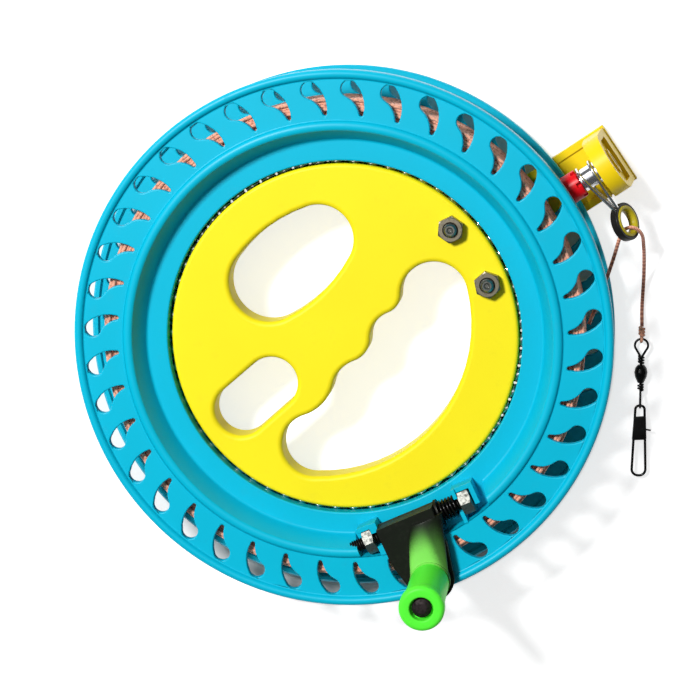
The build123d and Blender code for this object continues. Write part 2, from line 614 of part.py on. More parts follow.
def crank_arm():
    """Folding arm: hinge barrel, flat plate, sloping boot and the post that carries the grip."""
    left, right = ARM_RIGHT - ARM_WIDTH, ARM_RIGHT
    tip_y = -HINGE_R - CRANK_THROW
    inner = -HINGE_R + BARREL_R - 0.2
    outline = make_hull([
        *Polyline((left, inner), (right, inner), (right, -HINGE_R - ARM_SHOULDER),
                  (left, -HINGE_R - ARM_SHOULDER), close=True).edges(),
        *(Pos(ARM_MID, tip_y) * Circle(ARM_TIP_R)).edges()])
    plate = extrude(Pos(0, 0, ARM_BOTTOM) * outline, ARM_THICK)
    barrel = x_cylinder(BARREL_R, left, right)
    cheek = block(left, right, -HINGE_R - BARREL_R, inner, HINGE_Z, ARM_BOTTOM + ARM_THICK / 2)
    near = Plane(origin=(BOOT_X, -HINGE_R + 0.6, BOOT_Z), x_dir=(1, 0, 0), z_dir=(0, -1, 0))
    far = Plane(origin=(ARM_MID, tip_y, POST_BASE_Z - BOOT_STEP), x_dir=(1, 0, 0),
                z_dir=(0, 0, 1))
    boot = loft([near * Ellipse(BOOT_HALF, BOOT_RISE), far * Circle(POST_BASE_R - BOOT_INSET)])
    boot = split(boot, Plane.XY.offset(ARM_BOTTOM), keep=Keep.TOP)
    post_base = Pos(ARM_MID, tip_y, (ARM_BOTTOM + POST_BASE_Z) / 2) * Cylinder(
        POST_BASE_R, POST_BASE_Z - ARM_BOTTOM)
    post_top = POST_BASE_Z + SEAT_GAP + GRIP_LENGTH - GRIP_HEAD_BORE_DEPTH + SEAT_GAP
    post = Pos(ARM_MID, tip_y, (POST_BASE_Z - 1 + post_top) / 2) * Cylinder(
        POST_D / 2, post_top - POST_BASE_Z + 1)
    pilot = Pos(ARM_MID, tip_y, post_top - GRIP_SCREW_LENGTH / 2) * Cylinder(
        GRIP_SCREW_D / 2, GRIP_SCREW_LENGTH + 0.6)
    arm = plate + barrel + cheek + boot + post_base + post
    return arm - pilot - x_cylinder(M4_D / 2 + HOLE_PLAY, left - 1, right + 1)


# ---------------------------------------------------------------- line guide
def guide_arm():
    """Bracket bolted to the back of the hand plate that carries the guide past the rim."""
    foot = block(FOOT_IN, FOOT_OUT, -FOOT_WIDTH / 2, FOOT_WIDTH / 2, BAR_TOP, PLATE_BACK)
    foot = fillet(foot.edges().filter_by(Axis.Z), 2.5)
    bar = block(FOOT_IN, EAR_FOOT, -BAR_WIDTH / 2, BAR_WIDTH / 2, BAR_BOTTOM, BAR_TOP)
    bar += block(FOOT_IN, FOOT_OUT, -FOOT_WIDTH / 2, FOOT_WIDTH / 2, BAR_BOTTOM, BAR_TOP)
    ribs = [block(FOOT_OUT, EAR_FOOT - 1, side * BAR_WIDTH / 2 - (BAR_RIB_W if side > 0 else 0),
                  side * BAR_WIDTH / 2 + (BAR_RIB_W if side < 0 else 0), BAR_TOP,
                  BAR_TOP + BAR_RIB_H) for side in (-1, 1)]
    profile = make_face(Polyline((EAR_INNER, BAR_BOTTOM), (EAR_FOOT, BAR_BOTTOM),
                                 (EAR_TOP, PIN_Z + EAR_R), (EAR_INNER, PIN_Z + EAR_R),
                                 close=True))
    ear = extrude(Plane.XZ * profile, BAR_WIDTH, both=True)
    front = (Pos(0, PIN_Z) * Circle(EAR_R)
             + Pos(0, (PIN_Z + BAR_BOTTOM) / 2) * Rectangle(2 * EAR_R, PIN_Z - BAR_BOTTOM))
    ear = ear & extrude(Plane(origin=(EAR_INNER - 1, 0, 0), x_dir=(0, 1, 0),
                              z_dir=(1, 0, 0)) * front, EAR_FOOT - EAR_INNER + 2)
    dish = (Pos(0, PIN_Z) * Circle(EAR_R - EAR_RIM)
            + Pos(0, PIN_Z - EAR_R / 2) * Rectangle(2 * (EAR_R - EAR_RIM), EAR_R))
    lean = degrees(atan2(EAR_FOOT - EAR_TOP, PIN_Z + EAR_R - BAR_BOTTOM))
    face_x = EAR_FOOT - (EAR_FOOT - EAR_TOP) * (PIN_Z - BAR_BOTTOM) / (
        PIN_Z + EAR_R - BAR_BOTTOM)
    cut = extrude(Plane(origin=(face_x - EAR_DISH, 0, 0), x_dir=(0, 1, 0),
                        z_dir=(1, 0, 0)) * dish, EAR_FOOT)
    cut = Pos(face_x, 0, PIN_Z) * Rot(0, -lean, 0) * Pos(-face_x, 0, -PIN_Z) * cut
    boss = x_cylinder(BOSS_D / 2, EAR_INNER, face_x, 0, PIN_Z)
    arm = foot + bar + ribs + (ear - cut) + boss
    arm -= x_cylinder(PIN_D / 2 + SCREW_PLAY, EAR_INNER - 1, EAR_FOOT + 1, 0, PIN_Z)
    arm -= x_cylinder(PIN_HEAD_D / 2 + SCREW_PLAY, face_x - PIN_HEAD_H, EAR_FOOT + 1, 0, PIN_Z)
    for side in (-1, 1):
        at = Pos(ARM_BOLT_R, side * ARM_BOLT_HALF, 0)
        arm -= at * Pos(0, 0, (BAR_BOTTOM + PLATE_BACK) / 2) * Cylinder(
            M4_D / 2 + SCREW_PLAY, PLATE_BACK - BAR_BOTTOM + 1)
        arm -= at * Pos(0, 0, BAR_BOTTOM + ARM_BOLT_HEAD_H / 2) * Cylinder(
            ARM_BOLT_HEAD_D / 2 + HEAD_RECESS_GAP, ARM_BOLT_HEAD_H + 2 * ARM_BOLT_HEAD_SINK)
    save("guide_arm", GUIDE * arm)
    return face_x


def guide(face_x):
    """Bolts, pin, sleeve, wire frame and ring of the line guide."""
    bolts, nuts = [], []
    seat = BAR_BOTTOM + ARM_BOLT_HEAD_H + ARM_BOLT_HEAD_SINK
    tail = PLATE_TOP + M4_NUT_H + ARM_BOLT_TAIL
    for side in (-1, 1):
        at = GUIDE * Pos(ARM_BOLT_R, side * ARM_BOLT_HALF, 0)
        shank = Pos(0, 0, (seat + tail) / 2) * Cylinder(M4_D / 2, tail - seat)
        head = Pos(0, 0, seat - ARM_BOLT_HEAD_H / 2) * Cylinder(ARM_BOLT_HEAD_D / 2,
                                                               ARM_BOLT_HEAD_H)
        bolts.append(at * (shank + head))
        nut = extrude(Plane.XY.offset(PLATE_TOP) * RegularPolygon(M4_AF / sqrt(3), 6), M4_NUT_H)
        bore = Pos(0, 0, PLATE_TOP) * Cylinder(M4_D / 2 + THREAD_PLAY, 4 * M4_NUT_H)
        nuts.append(at * (nut - bore))
    save("arm_bolts", group(bolts))
    save("arm_nuts", group(nuts))
    sleeve_out = EAR_INNER - SEAT_GAP
    sleeve_in = sleeve_out - SLEEVE_LENGTH
    cap_out = sleeve_in - SEAT_GAP
    cap_in = cap_out - CAP_LENGTH
    pin = x_cylinder(PIN_D / 2, cap_in + CAP_END_WALL, face_x - PIN_HEAD_H, 0, PIN_Z)
    pin += x_cylinder(PIN_HEAD_D / 2, face_x - PIN_HEAD_H, face_x - PIN_HEAD_SINK, 0, PIN_Z)
    save("guide_pin", GUIDE * pin)
    cap = x_cylinder(CAP_D / 2, cap_in, cap_out, 0, PIN_Z)
    cap -= x_cylinder(PIN_D / 2 + THREAD_PLAY, cap_in + CAP_END_WALL, cap_out + 1, 0, PIN_Z)
    notch = block(cap_out - CAP_NOTCH, cap_out + 1, -CAP_NOTCH / 2, CAP_NOTCH / 2,
                  CAP_D / 2 - CAP_NOTCH, CAP_D)
    cap -= [Pos(0, 0, PIN_Z) * Rot(i * 360 / CAP_NOTCHES, 0, 0) * notch
            for i in range(CAP_NOTCHES)]
    save("pin_cap", GUIDE * cap)
    sleeve = x_cylinder(SLEEVE_D / 2, sleeve_in, sleeve_out, 0, PIN_Z)
    sleeve -= x_cylinder(PIN_D / 2 + HOLE_PLAY, sleeve_in - 1, sleeve_out + 1, 0, PIN_Z)
    save("guide_sleeve", GUIDE * sleeve)
    ring_at = (Pos(RING_AT, -RING_REACH, PIN_Z - RING_DROP)
               * Rot(0, 0, RING_YAW) * Rot(0, RING_PITCH, 0) * Rot(0, 90, 0))
    aim = (ring_at * Pos(0, 0, RING_AIM)).position
    half = RING_WIDTH / 2
    inner = RING_D / 2 - RING_FRAME_WALL
    frame = turned([(inner, -half), (RING_D / 2, -half), (RING_D / 2, half), (inner, half)])
    save("ring_frame", GUIDE * ring_at * frame)
    bead = inner - THREAD_PLAY
    flare = half + INSERT_LIP
    insert = turned([(RING_HOLE_D / 2, -INSERT_LIP), (RING_HOLE_D / 2 + INSERT_FLARE, -flare),
                     (bead, -flare), (bead, flare), (RING_HOLE_D / 2 + INSERT_FLARE, flare),
                     (RING_HOLE_D / 2, INSERT_LIP)])
    save("ring_insert", GUIDE * ring_at * insert)
    gap = ring_at * Cylinder(RING_D / 2, 3 * RING_WIDTH)
    wires = [hairpin(x, aim) - gap
             for x in (sleeve_in + WIRE_END_GAP, sleeve_out - WIRE_END_GAP)]
    save("guide_wire", GUIDE * group(wires))


def hairpin(x, aim):
    """Wire that comes from the ring, goes round the sleeve and back to the ring."""
    middle = Vector(x, 0, PIN_Z)
    plane = Plane(origin=middle, x_dir=aim - middle,
                  z_dir=(aim - middle).cross(Vector(0, middle.Z - aim.Z, aim.Y)))
    hug = (SLEEVE_D + GUIDE_WIRE_D) / 2 + HOLE_PLAY
    reach = (aim - middle).length
    open_angle = acos(hug / reach)
    touch = Vector(hug * cos(open_angle), hug * sin(open_angle))
    leave = touch + (Vector(reach, 0) - touch) * WIRE_SHARE
    path = Wire([plane * Line((leave.X, leave.Y), (touch.X, touch.Y)),
                 plane * ThreePointArc((touch.X, touch.Y), (-hug, 0), (touch.X, -touch.Y)),
                 plane * Line((touch.X, -touch.Y), (leave.X, -leave.Y))])
    return tube_along(path, Circle(GUIDE_WIRE_D / 2))


# ---------------------------------------------------------------- swivel, snap and free line
def swivel():
    """Barrel swivel and wire snap on the end of the line."""
    z = TABLE_Z + TABLE_GAP + BARREL_D / 2
    wire = SWIVEL_WIRE / 2
    barrel_top = BARREL_Y + BARREL_LENGTH / 2
    barrel_end = BARREL_Y - BARREL_LENGTH / 2

    def along_y(points):
        """Solid of revolution about the swivel's axis from (radius, y) points."""
        return Pos(SWIVEL_X, 0, z) * Rot(-90, 0, 0) * turned(points)

    def y_rod(radius, y1, y2):
        return along_y([(0, y1), (radius, y1), (radius, y2), (0, y2)])

    def ring(radius, y, upright):
        loop = Torus(radius, wire)
        return Pos(SWIVEL_X, y, z) * (Rot(0, 90, 0) * loop if upright else loop)

    bore = wire + HOLE_PLAY
    cave = STEM_HEAD_D / 2 + SEAT_GAP
    deep = STEM_NECK + STEM_HEAD_H + 2 * SEAT_GAP
    barrel = along_y([(BARREL_TIP_D / 2, barrel_end), (BARREL_D / 2, BARREL_Y - BARREL_BAND / 2),
                      (BARREL_D / 2, BARREL_Y + BARREL_BAND / 2), (BARREL_TIP_D / 2, barrel_top),
                      (bore, barrel_top), (bore, barrel_top - STEM_NECK),
                      (cave, barrel_top - STEM_NECK), (cave, barrel_top - deep),
                      (0, barrel_top - deep), (0, barrel_end + deep), (cave, barrel_end + deep),
                      (cave, barrel_end + STEM_NECK), (bore, barrel_end + STEM_NECK),
                      (bore, barrel_end)])
    save("swivel_barrel", barrel)

    def stem(face, way):
        """Neck outside the barrel's end face, and the head that holds it inside."""
        neck = y_rod(wire, *sorted((face - way * (STEM_NECK + SEAT_GAP + STEM_HEAD_H / 2),
                                    face + way * 2 * SEAT_GAP)))
        inner = face - way * (STEM_NECK + SEAT_GAP)
        return neck + y_rod(STEM_HEAD_D / 2, *sorted((inner, inner - way * STEM_HEAD_H)))

    eye_r = (EYE_D - SWIVEL_WIRE) / 2
    eye = ring(eye_r, EYE_Y, False) + y_rod(NECK_D / 2, barrel_top + SEAT_GAP, EYE_Y - eye_r)
    save("swivel_eye", eye + stem(barrel_top, 1))
    low_r = (LOWER_EYE_D - SWIVEL_WIRE) / 2
    low = ring(low_r, LOWER_EYE_Y, True) + y_rod(NECK_D / 2, LOWER_EYE_Y + low_r,
                                                 barrel_end - SEAT_GAP)
    save("lower_eye", low + stem(barrel_end, -1))
    bar_y = LOWER_EYE_Y - low_r + wire + SNAP_WIRE / 2 + SEAT_GAP
    top, low = (SNAP_TOP_W - SNAP_WIRE) / 2, (SNAP_BOTTOM_W - SNAP_WIRE) / 2
    y1, y2 = SNAP_SLEEVE_Y
    meet_y = (y1 + y2) / 2
    meet = top + (low - top) * (bar_y - meet_y) / (bar_y - SNAP_BOTTOM_Y)
    spots = [(meet, meet_y + SNAP_END_GAP), (top, bar_y), (-top, bar_y), (-low, SNAP_BOTTOM_Y),
             (low, SNAP_BOTTOM_Y), (meet, meet_y - SNAP_END_GAP)]
    path = FilletPolyline(*[(SWIVEL_X + x, y, z) for x, y in spots], radius=SNAP_BEND_R)
    save("snap_wire", tube_along(path, Circle(SNAP_WIRE / 2)))
    upper, lower = (width / 2 for width in SNAP_SLEEVE_W)
    outline = make_face(Polyline((-upper, y2), (-lower, y1), (lower, y1), (upper, y2), close=True))
    sleeve = extrude(Pos(SWIVEL_X, 0, z) * outline, SNAP_SLEEVE_T / 2, both=True)
    flanks = [e for e in sleeve.edges()
              if e.length > SNAP_SLEEVE_W[1] and abs((e @ 0.5).X - SWIVEL_X) > upper / 2]
    sleeve = fillet(flanks, SNAP_SLEEVE_T * 0.45)
    lean = (low - top) / (bar_y - SNAP_BOTTOM_Y)
    for side in (-1, 1):
        ends = [(SWIVEL_X + side * (meet + lean * (meet_y - y)), y, z)
                for y in (y1 - 1, y2 + 1)]
        sleeve -= rod(*ends, SNAP_WIRE / 2 + THREAD_PLAY)
    save("snap_sleeve", sleeve)
    return z


def free_line(swivel_z):
    """Loose end of the line, from the winding through the ring to its knot on the swivel."""
    spots = [Vector(*p) for p in LINE_ROUTE]
    runs = [(b - a).length for a, b in zip(spots, spots[1:])]
    radii = []
    for i in range(1, len(spots) - 1):
        turn = (spots[i] - spots[i - 1]).get_angle(spots[i + 1] - spots[i])
        radii.append(0.45 * min(runs[i - 1], runs[i]) / tan(radians(turn) / 2))
    print("line runs", [round(r, 1) for r in runs], "radii", [round(r, 1) for r in radii])
    path = FilletPolyline(*LINE_ROUTE, radius=radii)
    section = RegularPolygon(LINE_D / 2, LINE_SIDES)
    line = tube_along(path, section)
    print(f"line length {path.length:.1f}, volume {line.volume:.2f}, "
          f"section times length {section.area * path.length:.2f}")
    save("free_line", line)
    eye_wire_y = EYE_Y + (EYE_D - SWIVEL_WIRE) / 2
    loop_r = (SWIVEL_WIRE + LINE_D) / 2 + THREAD_PLAY
    low = eye_wire_y + loop_r
    high = low + KNOT_LENGTH
    ball = Pos(SWIVEL_X, 0, swivel_z) * Rot(-90, 0, 0) * turned([
        (0, low), (KNOT_D / 2 - 0.4, low), (KNOT_D / 2, low + 0.8), (KNOT_D / 2, high - 0.8),
        (KNOT_D / 2 - 0.4, high), (0, high)])
    loop = Pos(SWIVEL_X, eye_wire_y, swivel_z) * Rot(0, 90, 0) * Torus(loop_r, LINE_D / 2)
    save("line_knot", (ball + loop) - line)


wheel()
line_pack()
hand_plate()
bearing_balls()
crank()
guide(guide_arm())
free_line(swivel())
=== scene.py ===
"""Kite line winder: modelled looks for a wheel on a ball race, with its crank, line guide and snap.

The construction is loaded as a fixed frame. Pieces are drawn in millimetres, in that frame, and
brought to metres when they are finished.
"""

from contextlib import contextmanager
from math import acos, asin, atan2, ceil, cos, degrees, pi, radians, sin, sqrt, tan

import bpy
from bpy.props import FloatProperty, FloatVectorProperty, IntProperty, PointerProperty
from bpy.types import Operator, Panel, PropertyGroup
from mathutils import Matrix, Vector


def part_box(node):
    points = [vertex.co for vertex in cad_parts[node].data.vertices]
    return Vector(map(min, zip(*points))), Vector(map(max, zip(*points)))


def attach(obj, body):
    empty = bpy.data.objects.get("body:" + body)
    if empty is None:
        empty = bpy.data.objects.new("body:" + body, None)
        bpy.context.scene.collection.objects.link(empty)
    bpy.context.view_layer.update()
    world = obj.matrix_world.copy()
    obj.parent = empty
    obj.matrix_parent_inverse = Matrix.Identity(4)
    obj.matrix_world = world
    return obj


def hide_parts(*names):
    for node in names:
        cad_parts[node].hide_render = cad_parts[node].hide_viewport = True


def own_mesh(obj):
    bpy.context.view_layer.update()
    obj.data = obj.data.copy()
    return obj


bl_info = {
    "name": "Kite Line Winder",
    "version": (1, 0, 0),
    "blender": (4, 5, 0),
    "location": "3D View > Sidebar > Winder",
    "description": "Models the wheel, hand plate, crank, line guide and snap of a kite line winder",
    "category": "Add Mesh",
}

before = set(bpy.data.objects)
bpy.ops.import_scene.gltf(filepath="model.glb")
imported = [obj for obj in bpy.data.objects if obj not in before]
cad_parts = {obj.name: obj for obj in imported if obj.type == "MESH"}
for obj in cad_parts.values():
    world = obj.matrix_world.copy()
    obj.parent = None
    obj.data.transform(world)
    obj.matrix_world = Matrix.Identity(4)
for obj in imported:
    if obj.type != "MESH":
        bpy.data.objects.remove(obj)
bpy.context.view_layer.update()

MM = 0.001

# ---------------------------------------------------------------- sizes of the frame, in mm
WHEEL_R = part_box("front_shell")[1].x / MM
PLATE_BACK, PLATE_TOP = (corner.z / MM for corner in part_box("hand_plate"))
TABLE_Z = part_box("guide_arm")[0].z / MM
MID_Z = (PLATE_BACK + PLATE_TOP) / 2
FACE_GAP = -2 * MID_Z

LIP_HEIGHT = 1.2           # bead on the rim
LIP_WIDTH = 2.6
LIP_DEPTH = 3.6
FLANGE_WALL = 2.4
RIDGE_OUTER_R = 65.2
RIDGE_INNER_R = 62.3
RIDGE_HEIGHT = 1.0
DRUM_R = 66.0
DRUM_WALL = 2.2
RECESS_R = 59.5
RECESS_DEPTH = 6.5
RECESS_FLOOR_WALL = 2.2
BORE_R = 53.1
BORE_SLEEVE_WALL = 2.6

SLOT_COUNT = 40
SECTOR_STEPS = 9           # facets of the wheel for each slot
SLOT_PHASE = -2.0          # degrees, first head
SLOT_LAG = 3.2             # degrees, tail behind head
SECTOR_EDGE = 2            # degrees, a radius that passes between two slots
SLOT_HEAD = (74.45, 2.45)  # radius of its centre, and its own
SLOT_TAIL = (67.4, 0.6)
SLOT_BACK_R = 10.0         # bulging flank
SLOT_BELLY_R = 7.0         # hollow flank

PLATE_R = 52.1
PLATE_EDGE_FILLET = 1.2
BALL_PITCH_R = 52.6
BALL_D = 4.76
BALL_COUNT = 62
GROOVE_R = 2.43
THUMB_OPENING = [(-22.8, 16.2, 11.8, 45.0), (-7.6, 29.4, 10.3, 45.0)]
SMALL_OPENING = [(-31.5, -22.8, 7.9, 0), (-21.9, -14.2, 7.8, 0)]
FINGER_OPENING = [
    (-9.2, -33.1, 9.6, 47.0),
    (26.8, 13.4, 9.9, -6.0),
    (16.3, -0.1, 8.5, -7.5),
    (6.4, -16.4, 10.0, -13.5),
]

CORE_R = 70.55
LINE_D = 1.1
SHELL_SCREWS = 6
SHELL_SCREW_R = 57.0
SHELL_SCREW_PHASE = 24.5

HINGE_R = 58.5
HINGE_Z = -2.4
HINGE_BORE = 2.0
POCKET_R = 65.1
POCKET_X = (-21.5, 20.5)
POCKET_INNER = 4.6         # pocket's edge, from the hinge bolt towards the axis
NUT_WEB = (-15.7, -13.3)
HEAD_WEB = (11.3, 12.5)
WEB_TOP = 0.2
LUG_TOP = -0.6
LUG_IN = 3.65              # inner face of the walls round nut and head
LUG_WALL = 1.5
BOLT_TIP_X = -23.9
SPRING_X = (5.7, 11.3)
SPRING_D = 6.6
SPRING_WIRE = 0.8
SPRING_TURNS = 4.5
M4_AF = 7.0
M4_NUT_H = 3.2
M4_HEAD_H = 3.6
M4_PITCH = 0.7

ARM_MID = -4.2
CRANK_THROW = 16.3
GRIP_LOW = 8.1
GRIP_LENGTH = 27.0
GRIP_BASE_R = 5.7
GRIP_END_R = 6.6
GRIP_BORE_R = 3.4
GRIP_BORE_DEPTH = 2.6
POST_R = 2.55

PIN_Z = -12.0
PIN_R = 1.5
SLEEVE_X = (83.9, 89.9)
SLEEVE_R = 3.25
CAP_X = (78.6, 83.8)
CAP_R = 4.3
CAP_END_WALL = 1.2
CAP_NOTCHES = 6
CAP_NOTCH = 1.3
RING_PLACE = (87.8, -17.2, -16.0)
RING_TURN = (-11.5, -31.0)  # degrees, about Z and then about Y
RING_R = 5.7
RING_WALL = 1.0
RING_HALF = 1.2
RING_HOLE_R = 3.2
ARM_BOLT = (45.0, 9.75)    # along the guide arm, and to each side
ARM_BOLT_TAIL = 1.6

SWIVEL_X = 88.1
SWIVEL_Z = TABLE_Z + 2.15
EYE_Y = -4.2
BARREL_TOP_Y = -10.1
BARREL_LOW_Y = -15.7
LOWER_EYE_Y = -21.8
SNAP_TOP_Y = -22.8
SNAP_BOTTOM_Y = -44.6

# the free line's route in mm, from the winding through the ring to the swivel's eye
LINE_ROUTE = [
    (72.4, 5.0, -13.0),
    (76.3, 15.4, -13.7),
    (79.4, 25.0, -14.9),
    (80.7, 30.1, -16.2),
    (81.7, 32.7, -16.4),
    (83.9, 33.8, -15.7),
    (86.1, 33.1, -16.0),
    (87.5, 31.1, -17.7),
    (87.8, 29.0, -19.8),
    (88.2, 24.2, -23.6),
    (88.3, 17.6, -28.2),
    (88.1, 11.0, -31.2),
    (87.9, 6.2, -31.5),
    (88.1, 1.6, -30.1),
]
LINE_LENGTH = 70.9

# camera, in mm, and its focal length for the photograph's frame
CAMERA_AT = (82.4, 116.6, 634.1)
CAMERA_TARGET = (2.89, -2.01, 0.0)
LENS = 113.657

# the ring of floor under the flanges that doesn't glow, in mm: its middle, the radii over which
# the glow fades out towards it, and those over which it comes back beyond it
SHADE_MIDDLE = (-4.2, -5.9)
SHADE_IN = (56.0, 60.0)
SHADE_OUT = (82.5, 85.0)
PAPER_GLOW = 0.72

CRANK_FRAME = Matrix.Rotation(radians(24.8), 4, "Z")
GUIDE_FRAME = Matrix.Rotation(radians(34.2), 4, "Z")
HINGE_FRAME = (CRANK_FRAME @ Matrix.Translation((0, -HINGE_R, HINGE_Z))
               @ Matrix.Rotation(radians(90), 4, "Y"))
GRIP_FRAME = CRANK_FRAME @ Matrix.Translation((ARM_MID, -HINGE_R - CRANK_THROW, 0))
PIN_FRAME = (GUIDE_FRAME @ Matrix.Translation((0, 0, PIN_Z))
             @ Matrix.Rotation(radians(90), 4, "Y"))
RING_FRAME = (GUIDE_FRAME @ Matrix.Translation(RING_PLACE)
              @ Matrix.Rotation(radians(RING_TURN[0]), 4, "Z")
              @ Matrix.Rotation(radians(RING_TURN[1] + 90), 4, "Y"))


# ---------------------------------------------------------------- settings a user would change
class WinderSizes(PropertyGroup):
    """Sizes of the finish that aren't fixed by the construction"""
    slot_rounding: FloatProperty(
        name="Slot rounding", description="Radius of the slots' moulded edges",
        default=0.4 * MM, min=0.1 * MM, max=0.45 * MM, unit="LENGTH", subtype="DISTANCE")
    opening_rounding: FloatProperty(
        name="Opening rounding", description="Radius of the edges that the fingers hold",
        default=1.6 * MM, min=0.4 * MM, max=2.0 * MM, unit="LENGTH", subtype="DISTANCE")
    moulding_rounding: FloatProperty(
        name="Moulding rounding", description="Radius of the guide arm's edges",
        default=0.45 * MM, min=0.1 * MM, max=0.8 * MM, unit="LENGTH", subtype="DISTANCE")
    line_diameter: FloatProperty(
        name="Line diameter", description="Thickness of the kite line",
        default=LINE_D * MM, min=0.6 * MM, max=1.2 * MM, unit="LENGTH", subtype="DISTANCE")
    wound_layers: IntProperty(
        name="Wound layers", description="Layers of line that are modelled on the drum",
        default=5, min=2, max=6)
    ball_detail: IntProperty(
        name="Ball detail", description="Subdivisions of each bearing ball",
        default=3, min=1, max=4)


def colour(name, description, default):
    """A colour setting."""
    return FloatVectorProperty(name=name, description=description, default=default,
                               subtype="COLOR", size=3, min=0, max=1)


class WinderColours(PropertyGroup):
    """Colours of the mouldings, the line and the metal"""
    wheel: colour("Wheel", "Moulded sky blue", (0.001, 0.47, 0.67))
    plate: colour("Hand plate", "Moulded yellow", (0.95, 0.80, 0.012))
    guide_arm: colour("Guide arm", "Moulded warm yellow", (0.92, 0.66, 0.008))
    crank: colour("Crank arm", "Moulded near-black green", (0.006, 0.008, 0.005))
    # partly painted light: the arm fades to this green higher up and along the boot's middle line,
    # as a lit round boot would look
    crank_boot: colour("Crank boot", "Green that the arm's boot fades to", (0.20, 0.66, 0.09))
    grip: colour("Grip", "Moulded bright green", (0.10, 0.95, 0.045))
    cap: colour("Pin cap", "Moulded red", (0.72, 0.006, 0.012))
    ring: colour("Ring", "Black moulding", (0.012, 0.012, 0.011))
    insert: colour("Ring insert", "Olive yellow", (0.46, 0.38, 0.015))
    line: colour("Line", "Pinkish tan", (0.80, 0.36, 0.23))
    # partly painted shade: red-brown put between the tan strands where shade falls, and partly the
    # braid's own darker yarns
    line_dark_and_shade: colour("Line shade", "Red-brown between the strands", (0.20, 0.030, 0.026))
    zinc: colour("Zinc", "Plated bolts and nuts", (0.27, 0.275, 0.25))
    bronze: colour("Bronze nickel", "Darkened nuts on the hand plate", (0.34, 0.30, 0.22))
    chrome: colour("Chrome", "Guide sleeve", (0.80, 0.83, 0.88))
    black_wire: colour("Black wire", "Swivel, snap and spring", (0.012, 0.012, 0.012))


# ---------------------------------------------------------------- outlines
def arc(cx, cy, radius, start, end, step=10.0):
    """Points on an arc from one angle to another, in radians, at most step degrees apart."""
    count = max(2, ceil(abs(degrees(end - start)) / step - 1e-6) + 1)
    angles = [start + (end - start) * i / (count - 1) for i in range(count)]
    return [(cx + radius * cos(a), cy + radius * sin(a)) for a in angles]


def bead(outer, inner, height, steps=12):
    """Half-round bead on a flat face, from its outer radius to its inner one."""
    middle, half = (outer + inner) / 2, (outer - inner) / 2
    return [(middle + half * cos(pi * i / steps), height * sin(pi * i / steps))
            for i in range(steps + 1)]


def softened(corners, steps=4):
    """Closed outline through (x, y, radius) corners, each rounded by an arc."""
    points = []
    for i, (x, y, radius) in enumerate(corners):
        here = Vector((x, y))
        if radius == 0:
            points.append(tuple(here))
            continue
        back = (Vector(corners[i - 1][:2]) - here).normalized()
        on = (Vector(corners[(i + 1) % len(corners)][:2]) - here).normalized()
        half = back.angle(on) / 2
        centre = here + (back + on).normalized() * radius / sin(half)
        spoke = here + back * radius / tan(half) - centre
        turn = (pi - 2 * half) * (1 if on.cross(back) > 0 else -1)
        for k in range(steps + 1):
            points.append(tuple(centre + Matrix.Rotation(turn * k / steps, 2) @ spoke))
    return points


def flank_centre(first, second, flank):
    """Centre of the arc that is tangent to two lobes, on an outline that runs anticlockwise."""
    (x1, y1, r1), (x2, y2, r2) = first, second
    reach1, reach2 = (flank - r1, flank - r2) if flank > 0 else (r1 - flank, r2 - flank)
    span = sqrt((x2 - x1) ** 2 + (y2 - y1) ** 2)
    along = (reach1 ** 2 - reach2 ** 2 + span ** 2) / (2 * span)
    across = sqrt(reach1 ** 2 - along ** 2) * (1 if flank > 0 else -1)
    ux, uy = (x2 - x1) / span, (y2 - y1) / span
    return x1 + along * ux - across * uy, y1 + along * uy + across * ux


def touch_angles(first, second, flank):
    """Angles on two lobes at which the flank between them touches."""
    (x1, y1, r1), (x2, y2, r2) = first, second
    if flank == 0:
        bearing = atan2(y2 - y1, x2 - x1)
        lean = asin((r1 - r2) / sqrt((x2 - x1) ** 2 + (y2 - y1) ** 2))
        return bearing - pi / 2 + lean, bearing - pi / 2 + lean
    cx, cy = flank_centre(first, second, flank)
    side = 1 if flank > 0 else -1
    return atan2(side * (y1 - cy), side * (x1 - cx)), atan2(side * (y2 - cy), side * (x2 - cx))


def lobed(lobes, step=10.0):
    """Closed outline of (x, y, radius, flank) lobes: flanks bulge, run straight at 0, or ridge."""
    count, points = len(lobes), []
    leave, arrive = [None] * count, [None] * count
    for i, (x, y, r, flank) in enumerate(lobes):
        after = (i + 1) % count
        leave[i], arrive[after] = touch_angles((x, y, r), lobes[after][:3], flank)
    for i, (x, y, r, flank) in enumerate(lobes):
        after = (i + 1) % count
        sweep = (leave[i] - arrive[i]) % (2 * pi)
        points += arc(x, y, r, arrive[i], arrive[i] + sweep, step)
        if flank == 0:
            continue
        cx, cy = flank_centre((x, y, r), lobes[after][:3], flank)
        turned, way = (0, 1) if flank > 0 else (pi, -1)
        start = leave[i] + turned
        sweep = way * ((way * (arrive[after] + turned - start)) % (2 * pi))
        points += arc(cx, cy, abs(flank), start, start + sweep, step)[1:-1]
    return points


# ---------------------------------------------------------------- modelling
def select_only(*objs):
    """Leave edit mode, and select just these objects."""
    if bpy.context.object and bpy.context.object.mode != "OBJECT":
        bpy.ops.object.mode_set(mode="OBJECT")
    bpy.ops.object.select_all(action="DESELECT")
    for obj in objs:
        obj.select_set(True)
    if objs:
        bpy.context.view_layer.objects.active = objs[0]


@contextmanager
def editing(obj, everything=True):
    """Edit mode on one object, with all of it selected or what its mesh has selected."""
    select_only(obj)
    bpy.ops.object.mode_set(mode="EDIT")
    if everything:
        bpy.ops.mesh.select_all(action="SELECT")
    yield
    bpy.ops.object.mode_set(mode="OBJECT")


def loop(name, points, fill="NOTHING"):
    """A circle with as many corners as the outline, each moved to its place on it."""
    select_only()
    bpy.ops.mesh.primitive_circle_add(vertices=len(points), radius=1, fill_type=fill)
    obj = bpy.context.object
    obj.name = name
    for vertex, point in zip(obj.data.vertices, points):
        vertex.co = point
    return obj


